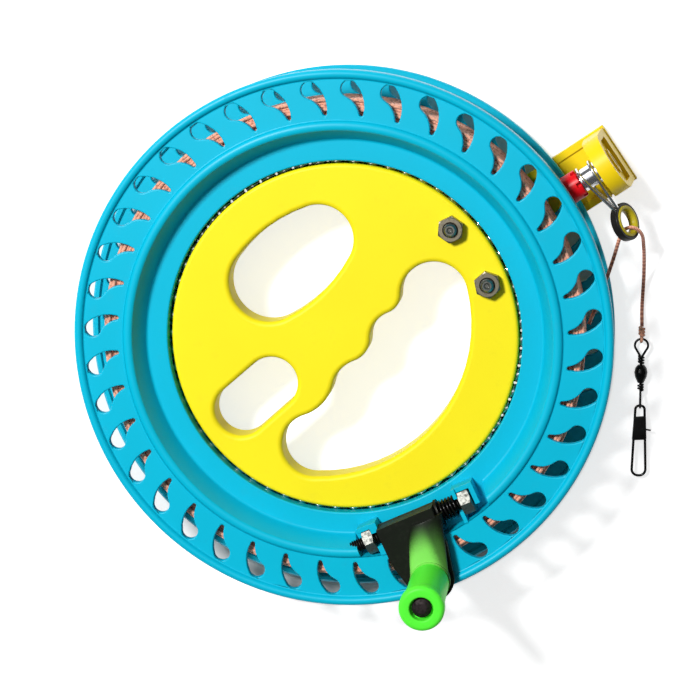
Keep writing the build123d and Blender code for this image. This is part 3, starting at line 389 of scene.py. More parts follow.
def merge(threshold=0.001):
    """Join what coincides in edit mode, and point the faces outwards."""
    bpy.ops.mesh.select_all(action="SELECT")
    bpy.ops.mesh.remove_doubles(threshold=threshold)
    bpy.ops.mesh.normals_make_consistent(inside=False)


def lathe(name, profile, steps=96):
    """Spin a closed (radius, z) profile about Z."""
    obj = loop(name, [(r, 0, z) for r, z in profile])
    with editing(obj):
        bpy.ops.mesh.spin(steps=steps, angle=2 * pi, center=(0, 0, 0), axis=(0, 0, 1))
        merge()
        bpy.ops.mesh.delete_loose(use_verts=True, use_edges=True, use_faces=False)
    return obj


def prism(name, outline, low, high):
    """Straight-sided solid over an outline in XY."""
    obj = loop(name, [(x, y, low) for x, y in outline], fill="NGON")
    with editing(obj):
        bpy.ops.mesh.extrude_region_move(TRANSFORM_OT_translate={"value": (0, 0, high - low)})
        merge()
    return obj


def box(name, x, y, z):
    """Block between (low, high) limits on each axis."""
    return prism(name, [(x[0], y[0]), (x[1], y[0]), (x[1], y[1]), (x[0], y[1])], *z)


def ring_of(obj, count):
    """Copy all of a mesh round Z, as a ring of count."""
    with editing(obj):
        bpy.ops.mesh.spin(steps=count - 1, dupli=True, angle=2 * pi * (count - 1) / count,
                          center=(0, 0, 0), axis=(0, 0, 1))
    return obj


def turned_to(obj, matrix):
    """Place a drawn piece by a matrix and keep the place in its mesh."""
    select_only(obj)
    obj.matrix_world = matrix
    bpy.ops.object.transform_apply(location=True, rotation=True, scale=True)
    return obj


def joined(name, *objs):
    """One object of several."""
    select_only(*objs)
    bpy.ops.object.join()
    objs[0].name = name
    return objs[0]


def modified(obj, kind, **settings):
    """Add a modifier and apply it."""
    select_only(obj)
    modifier = obj.modifiers.new(kind.title(), kind)
    for key, value in settings.items():
        setattr(modifier, key, value)
    bpy.ops.object.modifier_apply(modifier=modifier.name)
    return obj


def cut(obj, tool, operation="DIFFERENCE"):
    """Take one solid from another, or with UNION or INTERSECT combine them."""
    modified(obj, "BOOLEAN", operation=operation, object=tool, solver="EXACT")
    bpy.data.objects.remove(tool, do_unlink=True)
    if not obj.data.polygons:
        raise RuntimeError("nothing is left of " + obj.name)
    return obj


def round_edges(obj, width, segments=3, angle=50.0, clamp=True):
    """Round every edge that turns by more than an angle."""
    return modified(obj, "BEVEL", width=width, segments=segments, limit_method="ANGLE",
                    angle_limit=radians(angle), use_clamp_overlap=clamp,
                    miter_outer="MITER_ARC")


def merged_copy(node, name):
    """A copy of a CAD node in millimetres, its triangles joined and its flat faces whole."""
    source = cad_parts[node]
    obj = bpy.data.objects.new(name, source.data.copy())
    bpy.context.scene.collection.objects.link(obj)
    obj.data.transform(Matrix.Scale(1 / MM, 4))
    with editing(obj):
        bpy.ops.mesh.customdata_custom_splitnormals_clear()
        bpy.ops.mesh.remove_doubles(threshold=0.002)
        bpy.ops.mesh.dissolve_limited(angle_limit=radians(0.6))
    return obj


def wire(name, points, diameter, closed=False, sides=2):
    """Round wire along points, as a mesh."""
    curve = bpy.data.curves.new(name, "CURVE")
    curve.dimensions = "3D"
    curve.bevel_depth = diameter / 2
    curve.bevel_resolution = sides
    curve.use_fill_caps = True
    spline = curve.splines.new("POLY")
    spline.points.add(len(points) - 1)
    for spot, point in zip(spline.points, points):
        spot.co = (*point, 1)
    spline.use_cyclic_u = closed
    obj = bpy.data.objects.new(name, curve)
    bpy.context.scene.collection.objects.link(obj)
    select_only(obj)
    bpy.ops.object.convert(target="MESH")
    return bpy.context.object


def helix(radius, start, end, turns, phase=0.0, per_turn=24):
    """Points of a helix about Z."""
    count = ceil(abs(turns) * per_turn)
    return [(radius * cos(phase + 2 * pi * turns * i / count),
             radius * sin(phase + 2 * pi * turns * i / count),
             start + (end - start) * i / count) for i in range(count + 1)]


def threaded(name, low, high, diameter, pitch, tip=0.5):
    """Threaded shaft along Z, with a tapered tip at its low end."""
    root = diameter / 2 - 0.6 * pitch
    count = ceil((high - low) / pitch) + 3
    profile = []
    for i in range(count):
        z = low + (i - 1) * pitch
        profile += [(root, z), (diameter / 2, z + 0.4 * pitch), (diameter / 2, z + 0.55 * pitch)]
    obj = loop(name, [(r, 0, z) for r, z in profile])
    with editing(obj, everything=False):
        bpy.ops.mesh.select_mode(type="EDGE")
        bpy.ops.mesh.select_all(action="DESELECT")
    longest = max(obj.data.edges, key=lambda e: (obj.data.vertices[e.vertices[0]].co
                                                 - obj.data.vertices[e.vertices[1]].co).length)
    longest.select = True
    with editing(obj, everything=False):
        bpy.ops.mesh.delete(type="EDGE")
    modified(obj, "SCREW", angle=2 * pi, screw_offset=pitch, steps=28, render_steps=28,
             use_merge_vertices=True, merge_threshold=0.001)
    for z, way in ((low, -1), (high, 1)):
        with editing(obj):
            bpy.ops.mesh.bisect(plane_co=(0, 0, z), plane_no=(0, 0, way), use_fill=True,
                                clear_outer=True)
    with editing(obj):
        merge()
    cone = lathe("tip", [(0, low - 1), (diameter / 2 - tip - tip, low - 1),
                         (diameter / 2 - tip, low), (diameter / 2 + 0.2, low + tip + 0.2),
                         (diameter / 2 + 0.2, high + 1), (0, high + 1)], 28)
    return cut(obj, cone, "INTERSECT")


def hexagon(name, across, low, high, bore=0.0, chamfer=0.35):
    """Hexagonal nut or bolt head about Z, its corners turned off like a real one's."""
    corner, reach = across / sqrt(3), 0.5
    obj = prism(name, [(corner * cos(pi / 3 * i), corner * sin(pi / 3 * i)) for i in range(6)],
                low, high)
    flat = across / 2 * 0.97
    slope = (corner + 0.1 - flat) / chamfer
    turner = lathe("turner", [
        (0, low - reach), (flat - slope * reach, low - reach), (corner + 0.1, low + chamfer),
        (corner + 0.1, high - chamfer), (flat - slope * reach, high + reach),
        (0, high + reach)], 72)
    cut(obj, turner, "INTERSECT")
    if bore:
        sink = 0.35
        cut(obj, lathe("bore", [
            (0, low - sink), (bore + 2 * sink, low - sink), (bore, low + sink),
            (bore, high - sink), (bore + 2 * sink, high + sink), (0, high + sink)], 40))
    return round_edges(obj, 0.12, 2, 30)


def cross_recess(name, span, width, top, depth):
    """Cutter for a cross recess in a screw's head."""
    bars = [box(name, (-a, a), (-b, b), (top - depth, top + 1))
            for a, b in ((span / 2, width / 2), (width / 2, span / 2))]
    return cut(bars[0], bars[1], "UNION")


def finish(obj, name, body, slot, material, *nodes, place=None, smooth=35.0):
    """Bring a drawn piece to metres, smooth it, and let it stand for its CAD nodes."""
    obj.name = name
    turned_to(obj, place or Matrix.Identity(4))
    turned_to(obj, Matrix.Scale(MM, 4))
    bpy.ops.object.shade_smooth_by_angle(angle=radians(smooth))
    modified(obj, "WEIGHTED_NORMAL", keep_sharp=True)
    obj.data.materials.clear()
    obj.data.materials.append(material)
    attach(obj, body)
    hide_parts(*nodes)
    return obj


def repaint(node, material):
    """Give a CAD node that stays in view its finish."""
    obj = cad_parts[node]
    obj.data.materials.clear()
    obj.data.materials.append(material)
    return obj


# ---------------------------------------------------------------- finishes
class Value:
    """A number that changes over a surface. Sums with it add Math nodes to its finish."""

    def __init__(self, owner, socket):
        self.owner = owner
        self.socket = socket

    def _math(self, operation, first, second, clamp=False):
        node = self.owner.node("ShaderNodeMath", {"operation": operation, "use_clamp": clamp},
                               {0: first, 1: second})
        return Value(self.owner, node.outputs[0])

    def __add__(self, other):
        return self._math("ADD", self, other)

    def __sub__(self, other):
        return self._math("SUBTRACT", self, other)

    def __rsub__(self, other):
        return self._math("SUBTRACT", other, self)

    def __mul__(self, other):
        return self._math("MULTIPLY", self, other)

    def __truediv__(self, other):
        return self._math("DIVIDE", self, other)

    def __pow__(self, other):
        return self._math("POWER", self, other)

    __radd__ = __add__
    __rmul__ = __mul__

    def sine(self):
        """Sine of the value."""
        return self._math("SINE", self, 0.0)

    def step(self, low, high, start=0.0, end=1.0):
        """Smooth step from start to end as the value goes from low to high."""
        node = self.owner.node("ShaderNodeMapRange", {"interpolation_type": "SMOOTHSTEP"},
                               {"Value": self, "From Min": low, "From Max": high,
                                "To Min": start, "To Max": end})
        return Value(self.owner, node.outputs["Result"])


class Finish:
    """A material: one Principled shader and what changes over its surface."""

    def __init__(self, name, **constants):
        self.material = bpy.data.materials.new(name)
        self.material.use_nodes = True
        self.tree = self.material.node_tree
        self.tree.nodes.clear()
        self.shader = self.node("ShaderNodeBsdfPrincipled", {}, {})
        self.output = self.node("ShaderNodeOutputMaterial", {}, {"Surface": self.shader})
        self.set(**constants)
        self.place = self.node("ShaderNodeTexCoord", {}, {}).outputs["Object"]

    def node(self, kind, settings, inputs):
        """Any node: its settings first, then the values or links of its sockets."""
        node = self.tree.nodes.new(kind)
        for key, value in settings.items():
            setattr(node, key, value)
        for key, value in inputs.items():
            self.feed(node.inputs[key], value)
        return node

    def feed(self, socket, value):
        """Link a value, a node or a socket to a socket, or set a plain number on it."""
        if isinstance(value, Value):
            value = value.socket
        if isinstance(value, bpy.types.Node):
            value = value.outputs[0]
        if isinstance(value, bpy.types.NodeSocket):
            self.tree.links.new(value, socket)
        elif socket.type == "RGBA":
            socket.default_value = (*value[:3], 1)
        else:
            socket.default_value = value

    def set(self, **values):
        """Feed the shader's sockets, named in lower case with underscores."""
        for key, value in values.items():
            self.feed(self.shader.inputs[key.replace("_", " ").title().replace("Ior", "IOR")],
                      value)
        return self

    def noise(self, size, detail=3.0, roughness=0.5, place=None, stretch=None):
        """Cloudy pattern with patches about size mm across."""
        where = place or self.place
        if stretch:
            where = self.node("ShaderNodeMapping", {}, {"Vector": where, "Scale": stretch})
        node = self.node("ShaderNodeTexNoise", {}, {
            "Vector": where, "Scale": 1 / (size * MM), "Detail": detail, "Roughness": roughness})
        return Value(self, node.outputs[0])

    def part(self, axis, turn=0.0):
        """One coordinate in mm, after a turn about Z in degrees."""
        where = self.place
        if turn:
            where = self.node("ShaderNodeMapping", {},
                              {"Vector": where, "Rotation": (0, 0, radians(turn))})
        node = self.node("ShaderNodeSeparateXYZ", {}, {"Vector": where})
        return Value(self, node.outputs[axis]) / MM

    def mix(self, share, first, second, blend="MIX"):
        """Colour between two colours."""
        node = self.node("ShaderNodeMix", {"data_type": "RGBA", "blend_type": blend}, {})
        for index, value in ((0, share), (6, first), (7, second)):
            self.feed(node.inputs[index], value)
        return node.outputs[2]

    def bump(self, height, depth, strength=1.0, after=None):
        """Bump by a height field, depth in mm."""
        inputs = {"Height": height, "Distance": depth * MM, "Strength": strength}
        if after is not None:
            inputs["Normal"] = after
        return self.node("ShaderNodeBump", {}, inputs).outputs["Normal"]


def shade(colour_value, factor):
    """A colour made lighter or darker."""
    return tuple(min(1.0, c * factor) for c in colour_value)


def moulded(name, base, rough=0.38, speck=0.25):
    """Injection-moulded plastic: faint flow marks, fine grain, scuffs and a few dust specks."""
    finish_ = Finish(name, specular_ior_level=0.22, ior=1.45)
    flow = finish_.noise(22.0, 2.0)
    grain = finish_.noise(0.35, 2.0, 0.6)
    scuff = finish_.noise(5.0, 6.0, 0.7).step(0.56, 0.70)
    dust = finish_.noise(3.2, 4.0, 0.75).step(0.70, 0.78)
    tone = finish_.mix(flow, shade(base, 0.94), shade(base, 1.04))
    tone = finish_.mix(scuff * 0.10, tone, shade(base, 0.72))
    tone = finish_.mix(dust * speck, tone, shade(base, 0.30))
    finish_.set(base_color=tone, roughness=rough + 0.12 * scuff + 0.05 * grain,
                normal=finish_.bump(grain * 0.5 + flow * 2.0, 0.02, 0.35))
    return finish_.material


def plated(name, base, rough=0.26, tarnish=0.5, grain_size=0.25):
    """Plated or drawn metal: dull, darker patches and fine scratches."""
    finish_ = Finish(name, metallic=1.0)
    patch = finish_.noise(1.1, 5.0, 0.65)
    grain = finish_.noise(grain_size, 3.0, 0.6)
    dull = patch.step(0.42, 0.68)
    tone = finish_.mix(dull * tarnish, base, shade(base, 0.42))
    finish_.set(base_color=tone, roughness=rough + 0.22 * dull + 0.10 * grain,
                normal=finish_.bump(grain, 0.02, 0.5))
    return finish_.material


def black_metal(name, base, rough=0.24):
    """Black nickel wire: near black, glossy, brighter where it is rubbed."""
    finish_ = Finish(name, metallic=0.85)
    rub = finish_.noise(0.7, 4.0, 0.7).step(0.58, 0.74)
    tone = finish_.mix(rub * 0.5, shade(base, 1.6), (0.16, 0.15, 0.14))
    finish_.set(base_color=tone, roughness=rough + 0.15 * rub,
                normal=finish_.bump(finish_.noise(0.3, 2.0), 0.01, 0.3))
    return finish_.material


def polished(name, base, rough=0.08):
    """Bright polished metal with faint wipe marks."""
    finish_ = Finish(name, metallic=1.0)
    wipe = finish_.noise(1.6, 4.0, 0.6)
    finish_.set(base_color=finish_.mix(wipe.step(0.5, 0.75) * 0.3, base, shade(base, 0.6)),
                roughness=rough + 0.12 * wipe.step(0.45, 0.8))
    return finish_.material


def crank_plastic(colours):
    """The arm's near-black moulding, which fades to green on the raised boot: partly its own two
    tones, partly painted light, greener on the boot's top and middle line and darker at its foot
    and sides as painted shade.
    """
    finish_ = Finish("crank_moulding", specular_ior_level=0.18)
    grain = finish_.noise(0.5, 4.0, 0.7)
    dust = finish_.noise(1.6, 5.0, 0.75).step(0.50, 0.72)
    height = finish_.part("Z") + (grain - 0.5) * 1.0
    away = finish_.part("Y", -24.8)
    across = (finish_.part("X", -24.8) - ARM_MID + (grain - 0.5) * 1.5) ** 2
    # painted light: green grows with height and towards the boot's middle line, and falls to a
    # quarter at its sides, as painted shading of a lit round boot
    green = height.step(4.3, 7.0) * away.step(-HINGE_R + 1.5, -HINGE_R - 8.0)
    green = green * across.step(36.0, 6.0, 0.25, 1.0)
    tone = finish_.mix(dust * 0.20, colours.crank, (0.035, 0.040, 0.028))
    tone = finish_.mix(green, tone, colours.crank_boot)
    finish_.set(base_color=tone, roughness=0.42 + 0.15 * dust,
                normal=finish_.bump(grain, 0.05, 0.4))
    return finish_.material


def braided(name, colours, along=None, painted_light_lift=1.0):
    """Braided line: crossing yarns, tan with red-brown between them; the red-brown is partly the
    braid's darker yarns and partly painted shade, and a lift above 1 is painted light that makes a
    copy's tan lighter.
    """
    finish_ = Finish(name, sheen_weight=0.3, sheen_roughness=0.5)
    cloud = finish_.noise(2.4, 3.0, 0.6)
    fibre = finish_.noise(0.18, 3.0, 0.7)
    if along:
        uv = finish_.node("ShaderNodeTexCoord", {}, {}).outputs["UV"]
        parts = finish_.node("ShaderNodeSeparateXYZ", {}, {"Vector": uv})
        u, v = Value(finish_, parts.outputs[0]), Value(finish_, parts.outputs[1])
        one = (u * along + v * 2 * pi).sine()
        two = (u * along - v * 2 * pi).sine()
        yarn = (one * two * 0.5 + 0.5).step(0.15, 0.85)
    else:
        yarn = finish_.noise(0.8, 2.0, 0.5).step(0.25, 0.55)
    # painted light: the lift makes this copy's tan lighter than the line's own colour
    light = shade(colours.line, painted_light_lift)
    # partly painted shade: the yarn pattern puts red-brown between the tan yarns, where the braid
    # is darker and where shade falls between strands
    tone = finish_.mix(yarn * 0.75 + cloud * 0.35, colours.line_dark_and_shade, light)
    tone = finish_.mix(fibre.step(0.55, 0.75) * 0.35, tone, shade(light, 1.4))
    finish_.set(base_color=tone, roughness=0.72 + 0.15 * fibre,
                normal=finish_.bump(yarn + fibre * 0.5, 0.12, 0.7))
    return finish_.material


# ---------------------------------------------------------------- stage, lights and camera
def lamp(name, place, size, power, tint=(1.0, 1.0, 1.0)):
    """Soft square lamp that looks at the wheel's middle."""
    data = bpy.data.lights.new(name, "AREA")
    data.shape = "SQUARE"
    data.size = size
    data.energy = power
    data.color = tint
    obj = bpy.data.objects.new(name, data)
    bpy.context.scene.collection.objects.link(obj)
    obj.location = place
    obj.rotation_euler = (-Vector(place)).to_track_quat("-Z", "Y").to_euler()
    return obj


def make_stage():
    """Floor, backdrop light, lamps and camera."""
    scene = bpy.context.scene
    select_only()
    bpy.ops.mesh.primitive_plane_add(size=12, location=(0, 0, (TABLE_Z - 0.05) * MM))
    floor = bpy.context.object
    floor.name = "floor"
    select_only(floor)
    bpy.ops.object.transform_apply(location=True)
    paper = Finish("floor_paper", roughness=0.9, base_color=(0.86, 0.86, 0.86))
    fibres = paper.noise(40.0, 2.0)
    paper.set(base_color=paper.mix(fibres, (0.86, 0.86, 0.86), (0.88, 0.88, 0.88)))
    rays = paper.node("ShaderNodeLightPath", {}, {})
    seen = (Value(paper, rays.outputs["Is Camera Ray"])
            + Value(paper, rays.outputs["Is Glossy Ray"])
            + Value(paper, rays.outputs["Is Transmission Ray"]))
    radius = ((paper.part("X") - SHADE_MIDDLE[0]) ** 2
              + (paper.part("Y") - SHADE_MIDDLE[1]) ** 2) ** 0.5
    lit = 1.0 - radius.step(*SHADE_IN) + radius.step(*SHADE_OUT)
    glow = paper.node("ShaderNodeEmission", {}, {"Strength": seen * lit * PAPER_GLOW})
    both = paper.node("ShaderNodeAddShader", {}, {0: paper.shader, 1: glow})
    side = paper.node("ShaderNodeNewGeometry", {}, {}).outputs["Backfacing"]
    clear = paper.node("ShaderNodeBsdfTransparent", {}, {})
    paper.feed(paper.output.inputs["Surface"],
               paper.node("ShaderNodeMixShader", {}, {0: side, 1: both, 2: clear}))
    floor.data.materials.append(paper.material)

    world = bpy.data.worlds.new("studio")
    scene.world = world
    world.use_nodes = True
    background = world.node_tree.nodes["Background"]
    background.inputs["Color"].default_value = (1, 1, 1, 1)
    rays = world.node_tree.nodes.new("ShaderNodeLightPath")
    level = world.node_tree.nodes.new("ShaderNodeMapRange")
    level.inputs["To Min"].default_value, level.inputs["To Max"].default_value = 0.09, 1.0
    world.node_tree.links.new(rays.outputs["Is Camera Ray"], level.inputs["Value"])
    world.node_tree.links.new(level.outputs["Result"], background.inputs["Strength"])

    lamp("key_lamp", (-0.42, 0.44, 0.94), 0.20, 14.5)
    lamp("fill_lamp", (-0.10, 0.20, 1.1), 0.6, 0.9)

    data = bpy.data.cameras.new("camera")
    data.lens = LENS
    data.sensor_width = 36
    data.clip_start, data.clip_end = 0.01, 30
    camera = bpy.data.objects.new("camera", data)
    scene.collection.objects.link(camera)
    at, target = Vector(CAMERA_AT), Vector(CAMERA_TARGET)
    back = (at - target).normalized()
    right = Vector((0, 1, 0)).cross(back).normalized()
    up = back.cross(right)
    camera.matrix_world = (Matrix.Translation(at * MM)
                           @ Matrix((right, up, back)).transposed().to_4x4())
    scene.camera = camera
    scene.view_settings.view_transform = "Standard"


# ---------------------------------------------------------------- wheel
def shell_profile():
    """Closed (radius, z) profile of the front half: bead, flange, ridge, recess and bore."""
    rim_in = WHEEL_R - LIP_WIDTH
    floor_under = -RECESS_DEPTH - RECESS_FLOOR_WALL
    groove_low = atan2(sqrt(GROOVE_R ** 2 - (BORE_R - BALL_PITCH_R) ** 2), BORE_R - BALL_PITCH_R)
    recess = softened([
        (RIDGE_INNER_R, 0, 0), (RECESS_R, -RECESS_DEPTH, 1.0), (BORE_R, -RECESS_DEPTH, 0.5),
        (BORE_R, MID_Z + 3, 0)])
    under = softened([
        (DRUM_R, MID_Z, 0), (DRUM_R, -FLANGE_WALL, 0.2), (rim_in + 0.4, -FLANGE_WALL, 0.2),
        (rim_in + 0.8, -LIP_DEPTH, 0.2), (WHEEL_R - 0.6, -LIP_DEPTH, 0)], 3)
    return (bead(WHEEL_R, rim_in, LIP_HEIGHT)
            + bead(RIDGE_OUTER_R, RIDGE_INNER_R, RIDGE_HEIGHT)
            + recess[1:-1]
            + arc(BALL_PITCH_R, MID_Z, GROOVE_R, groove_low, 0, 15)
            + [(BORE_R + BORE_SLEEVE_WALL, MID_Z), (BORE_R + BORE_SLEEVE_WALL, floor_under),
               (DRUM_R - DRUM_WALL, floor_under), (DRUM_R - DRUM_WALL, MID_Z), (DRUM_R, MID_Z)]
            + under[1:-1]
            + [(WHEEL_R - 0.6, -LIP_DEPTH), (WHEEL_R, -LIP_DEPTH + 0.6)])


def open_sectors(obj):
    """Dissolve the flange's radial edges, but for one between each two slots."""
    mesh = obj.data
    for part in (mesh.vertices, mesh.edges, mesh.polygons):
        part.foreach_set("select", [False] * len(part))
    reach = 10.0
    for edge in mesh.edges:
        a, b = (mesh.vertices[i].co for i in edge.vertices)
        radial = abs(a.xy.length - b.xy.length) > reach and abs(a.z - b.z) < 0.01
        angle = degrees(atan2(a.y, a.x)) - SECTOR_EDGE
        kept = abs((angle + 0.5) % (360 / SLOT_COUNT) - 0.5) < 0.1
        edge.select = radial and not kept
    bpy.context.tool_settings.mesh_select_mode = (False, True, False)
    with editing(obj, everything=False):
        bpy.ops.mesh.dissolve_edges(use_verts=False)


def slot_cutter():
    """Ring of teardrop prisms."""
    head_angle, tail_angle = radians(SLOT_PHASE), radians(SLOT_PHASE - SLOT_LAG)
    outline = lobed([
        (SLOT_HEAD[0] * cos(head_angle), SLOT_HEAD[0] * sin(head_angle), SLOT_HEAD[1],
         -SLOT_BELLY_R),
        (SLOT_TAIL[0] * cos(tail_angle), SLOT_TAIL[0] * sin(tail_angle), SLOT_TAIL[1],
         SLOT_BACK_R)], 12)
    return ring_of(prism("slots", outline, -FLANGE_WALL - 1, 1), SLOT_COUNT)


def pocket_cutter():
    """The crank hinge's pocket: open to the recess, and round on its outer side."""
    inner = -HINGE_R + POCKET_INNER
    start, end = (-acos(x / POCKET_R) for x in POCKET_X)
    outline = [(POCKET_X[0], inner)] + arc(0, 0, POCKET_R, start, end, 2) + [(POCKET_X[1], inner)]
    return turned_to(prism("pocket", outline, -RECESS_DEPTH + 0.001, 3), CRANK_FRAME)


def seat_walls():
    """Two webs that hold the hinge bolt, and the low walls round its nut and head."""
    foot = -RECESS_DEPTH - 0.6
    inner = -HINGE_R + LUG_IN
    outer = -POCKET_R - 0.3
    nut_end, head_end = NUT_WEB[0] - M4_NUT_H - 0.6, HEAD_WEB[1] + M4_HEAD_H + 0.4
    walls = [
        box("wall", NUT_WEB, (outer + 1.6, inner + LUG_WALL), (foot, WEB_TOP)),
        box("wall", (nut_end, NUT_WEB[1]), (inner, inner + LUG_WALL), (foot, LUG_TOP)),
        box("wall", HEAD_WEB, (outer + 0.9, inner + LUG_WALL), (foot, WEB_TOP)),
        box("wall", (HEAD_WEB[0], head_end + LUG_WALL), (inner, inner + LUG_WALL),
            (foot, LUG_TOP)),
        box("wall", (head_end, head_end + LUG_WALL), (-HINGE_R - M4_AF / 4, inner + LUG_WALL),
            (foot, LUG_TOP)),
    ]
    seat = walls[0]
    for wall in walls[1:]:
        cut(seat, wall, "UNION")
    for low, high in (NUT_WEB, HEAD_WEB):
        cut(seat, box("notch", (low - 0.1, high + 0.1), (-HINGE_R - 2.1, -HINGE_R + 2.1),
                      (HINGE_Z, WEB_TOP + 1)))
    round_edges(seat, 0.22, 2)
    return turned_to(seat, CRANK_FRAME)


def make_wheel(sizes, colours):
    """Both slotted halves of the wheel and the screws that join them."""
    blue = moulded("wheel_moulding", colours.wheel, 0.34, 0.5)
    rounding = sizes.slot_rounding / MM
    half = lathe("half", shell_profile(), SLOT_COUNT * SECTOR_STEPS)
    open_sectors(half)
    cut(half, slot_cutter())
    round_edges(half, rounding, 3, 50, False)
    select_only(half)
    bpy.ops.object.duplicate()
    rear = bpy.context.object
    cut(half, pocket_cutter())
    cut(half, seat_walls(), "UNION")
    finish(half, "front_half", "wheel", "wheel_plastic", blue, "front_shell")
    turned_to(rear, Matrix.Translation((0, 0, 2 * MID_Z)) @ Matrix.Scale(-1, 4, (0, 0, 1)))
    with editing(rear):
        bpy.ops.mesh.normals_make_consistent(inside=False)
    finish(rear, "rear_half", "wheel", "wheel_plastic", blue, "rear_shell")

    floor_z = -FACE_GAP + RECESS_DEPTH
    head = lathe("screw", softened([(0, floor_z, 0), (2.4, floor_z, 0.1),
                                    (2.4, floor_z - 1.0, 0.5), (1.3, floor_z - 1.6, 0.4),
                                    (0, floor_z - 1.6, 0)], 3), 32)
    cut(head, turned_to(cross_recess("cross", 2.6, 0.6, 1.0, 1.0),
                        Matrix.Translation((0, 0, floor_z - 1.6))
                        @ Matrix.Rotation(pi, 4, "X")))
    turned_to(head, Matrix.Rotation(radians(SHELL_SCREW_PHASE), 4, "Z")
              @ Matrix.Translation((SHELL_SCREW_R, 0, 0)))
    finish(ring_of(head, SHELL_SCREWS), "joining_screws", "wheel", "zinc_steel",
           plated("screw_plating", colours.zinc), "shell_screws")


def make_wound_line(sizes, colours):
    """Layers of line on the drum, which cross as they are wound, over a plain base."""
    inner, outer, half = DRUM_R + 0.02, CORE_R - 3.4, 10.5
    base = lathe("base", softened([
        (inner, MID_Z - half, 0), (outer, MID_Z - half, 0.4), (outer, MID_Z + half, 0.4),
        (inner, MID_Z + half, 0)], 2), 180)
    finish(base, "line_base", "wheel", "line_cord", braided("line_deep", colours), "line_core")
    diameter = sizes.line_diameter / MM
    edge = -MID_Z - FLANGE_WALL - diameter / 2 - 0.08
    strands = []
    for layer in range(sizes.wound_layers):
        radius = CORE_R + diameter / 2 - layer * 0.82 * diameter
        turns = 7 + (layer * 3) % 4
        way = 1 if layer % 2 == 0 else -1
        count = turns * 96
        points = []
        for i in range(count + 1):
            angle = way * 2 * pi * turns * i / count + layer * 2.1
            share = i / count
            stray = 0.35 * sin(5.0 * angle + layer) + 0.25 * sin(2.3 * angle + 1.7 * layer)
            z = MID_Z + edge * max(-1, min(1, (1 - 2 * share) * 1.12)) * way
            z += stray * min(1, 6 * share, 6 * (1 - share)) * (edge - abs(z - MID_Z)) / edge * 2
            points.append((radius * cos(angle), radius * sin(angle), z))
        strands.append(wire("strand", points, diameter, sides=1))
    obj = joined("wound_line", *strands)
    # painted light: the wound line's copy is lifted 1.1 times lighter than the line's own colour
    finish(obj, "wound_line", "wheel", "line_cord", braided("line_wound", colours, painted_light_lift=1.1),
           "line_winding", smooth=80)


# ---------------------------------------------------------------- hand plate and balls
def make_hand_plate(sizes, colours):
    """Disc with finger and thumb openings and a ball groove round its edge."""
    edge = PLATE_EDGE_FILLET
    profile = softened([(0, PLATE_BACK, 0), (PLATE_R, PLATE_BACK, edge), (PLATE_R, PLATE_TOP, edge),
                        (0, PLATE_TOP, 0)], 5)
    disc = lathe("disc", profile, 240)
    with editing(disc):
        bpy.ops.mesh.dissolve_limited(angle_limit=radians(0.5))
    for lobes in (THUMB_OPENING, SMALL_OPENING, FINGER_OPENING):
        cut(disc, prism("opening", lobed(lobes, 6), PLATE_BACK - 1, PLATE_TOP + 1))
    round_edges(disc, sizes.opening_rounding / MM, 5, 60, False)
    groove = lathe("groove", arc(BALL_PITCH_R, MID_Z, GROOVE_R, 0, 2 * pi, 15)[:-1], 240)
    cut(disc, groove)
    finish(disc, "palm_plate", "frame", "plate_plastic",
           moulded("plate_moulding", colours.plate, 0.42, 0.05), "hand_plate", smooth=30)


def make_balls(sizes, colours):
    """The ring of bearing balls."""
    select_only()
    bpy.ops.mesh.primitive_ico_sphere_add(subdivisions=sizes.ball_detail, radius=BALL_D / 2)
    ball = turned_to(bpy.context.object, Matrix.Translation((BALL_PITCH_R, 0, MID_Z)))
    finish(ring_of(ball, BALL_COUNT), "race_balls", "ball_set", "ball_steel",
           polished("ball_polish", (0.75, 0.75, 0.74)), "bearing_balls", smooth=60)


# ---------------------------------------------------------------- crank
def make_hinge(colours):
    """Hinge bolt with its nut, washer and spring."""
    zinc = plated("hinge_plating", colours.zinc, 0.42, 0.8)
    dark = plated("bolt_plating", shade(colours.zinc, 0.12), 0.45, 0.6)
    head = hexagon("head", M4_AF, HEAD_WEB[1], HEAD_WEB[1] + M4_HEAD_H)
    shaft = threaded("shaft", BOLT_TIP_X, HEAD_WEB[1] + 0.2, 2 * HINGE_BORE, M4_PITCH, 0.7)
    finish(head, "pivot_bolt_head", "wheel", "zinc_steel", zinc, "hinge_bolt",
           place=HINGE_FRAME)
    finish(shaft, "pivot_bolt_shaft", "wheel", "zinc_steel", dark, "hinge_bolt",
           place=HINGE_FRAME)
    nut = hexagon("nut", M4_AF, NUT_WEB[0] - M4_NUT_H, NUT_WEB[0], HINGE_BORE)
    finish(nut, "pivot_nut", "wheel", "zinc_steel", zinc, "hinge_nut", place=HINGE_FRAME)
    low, high = (x + way * (SPRING_WIRE / 2 + 0.03) for x, way in zip(SPRING_X, (1, -1)))
    coil = wire("coil", helix((SPRING_D - SPRING_WIRE) / 2, low, high, SPRING_TURNS, per_turn=32),
                SPRING_WIRE, sides=3)
    coil = finish(coil, "return_spring", "wheel", "spring_steel",
                  black_metal("spring_black", colours.black_wire), "crank_spring",
                  place=HINGE_FRAME, smooth=70)
    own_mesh(coil)
    repaint("crank_washer", dark)


def make_crank_arm(colours):
    """Folding arm with its boot."""
    arm = merged_copy("crank_arm", "arm")
    round_edges(arm, 0.3, 2, 50, True)
    finish(arm, "folding_arm", "crank", "crank_plastic", crank_plastic(colours), "crank_arm",
           smooth=40)


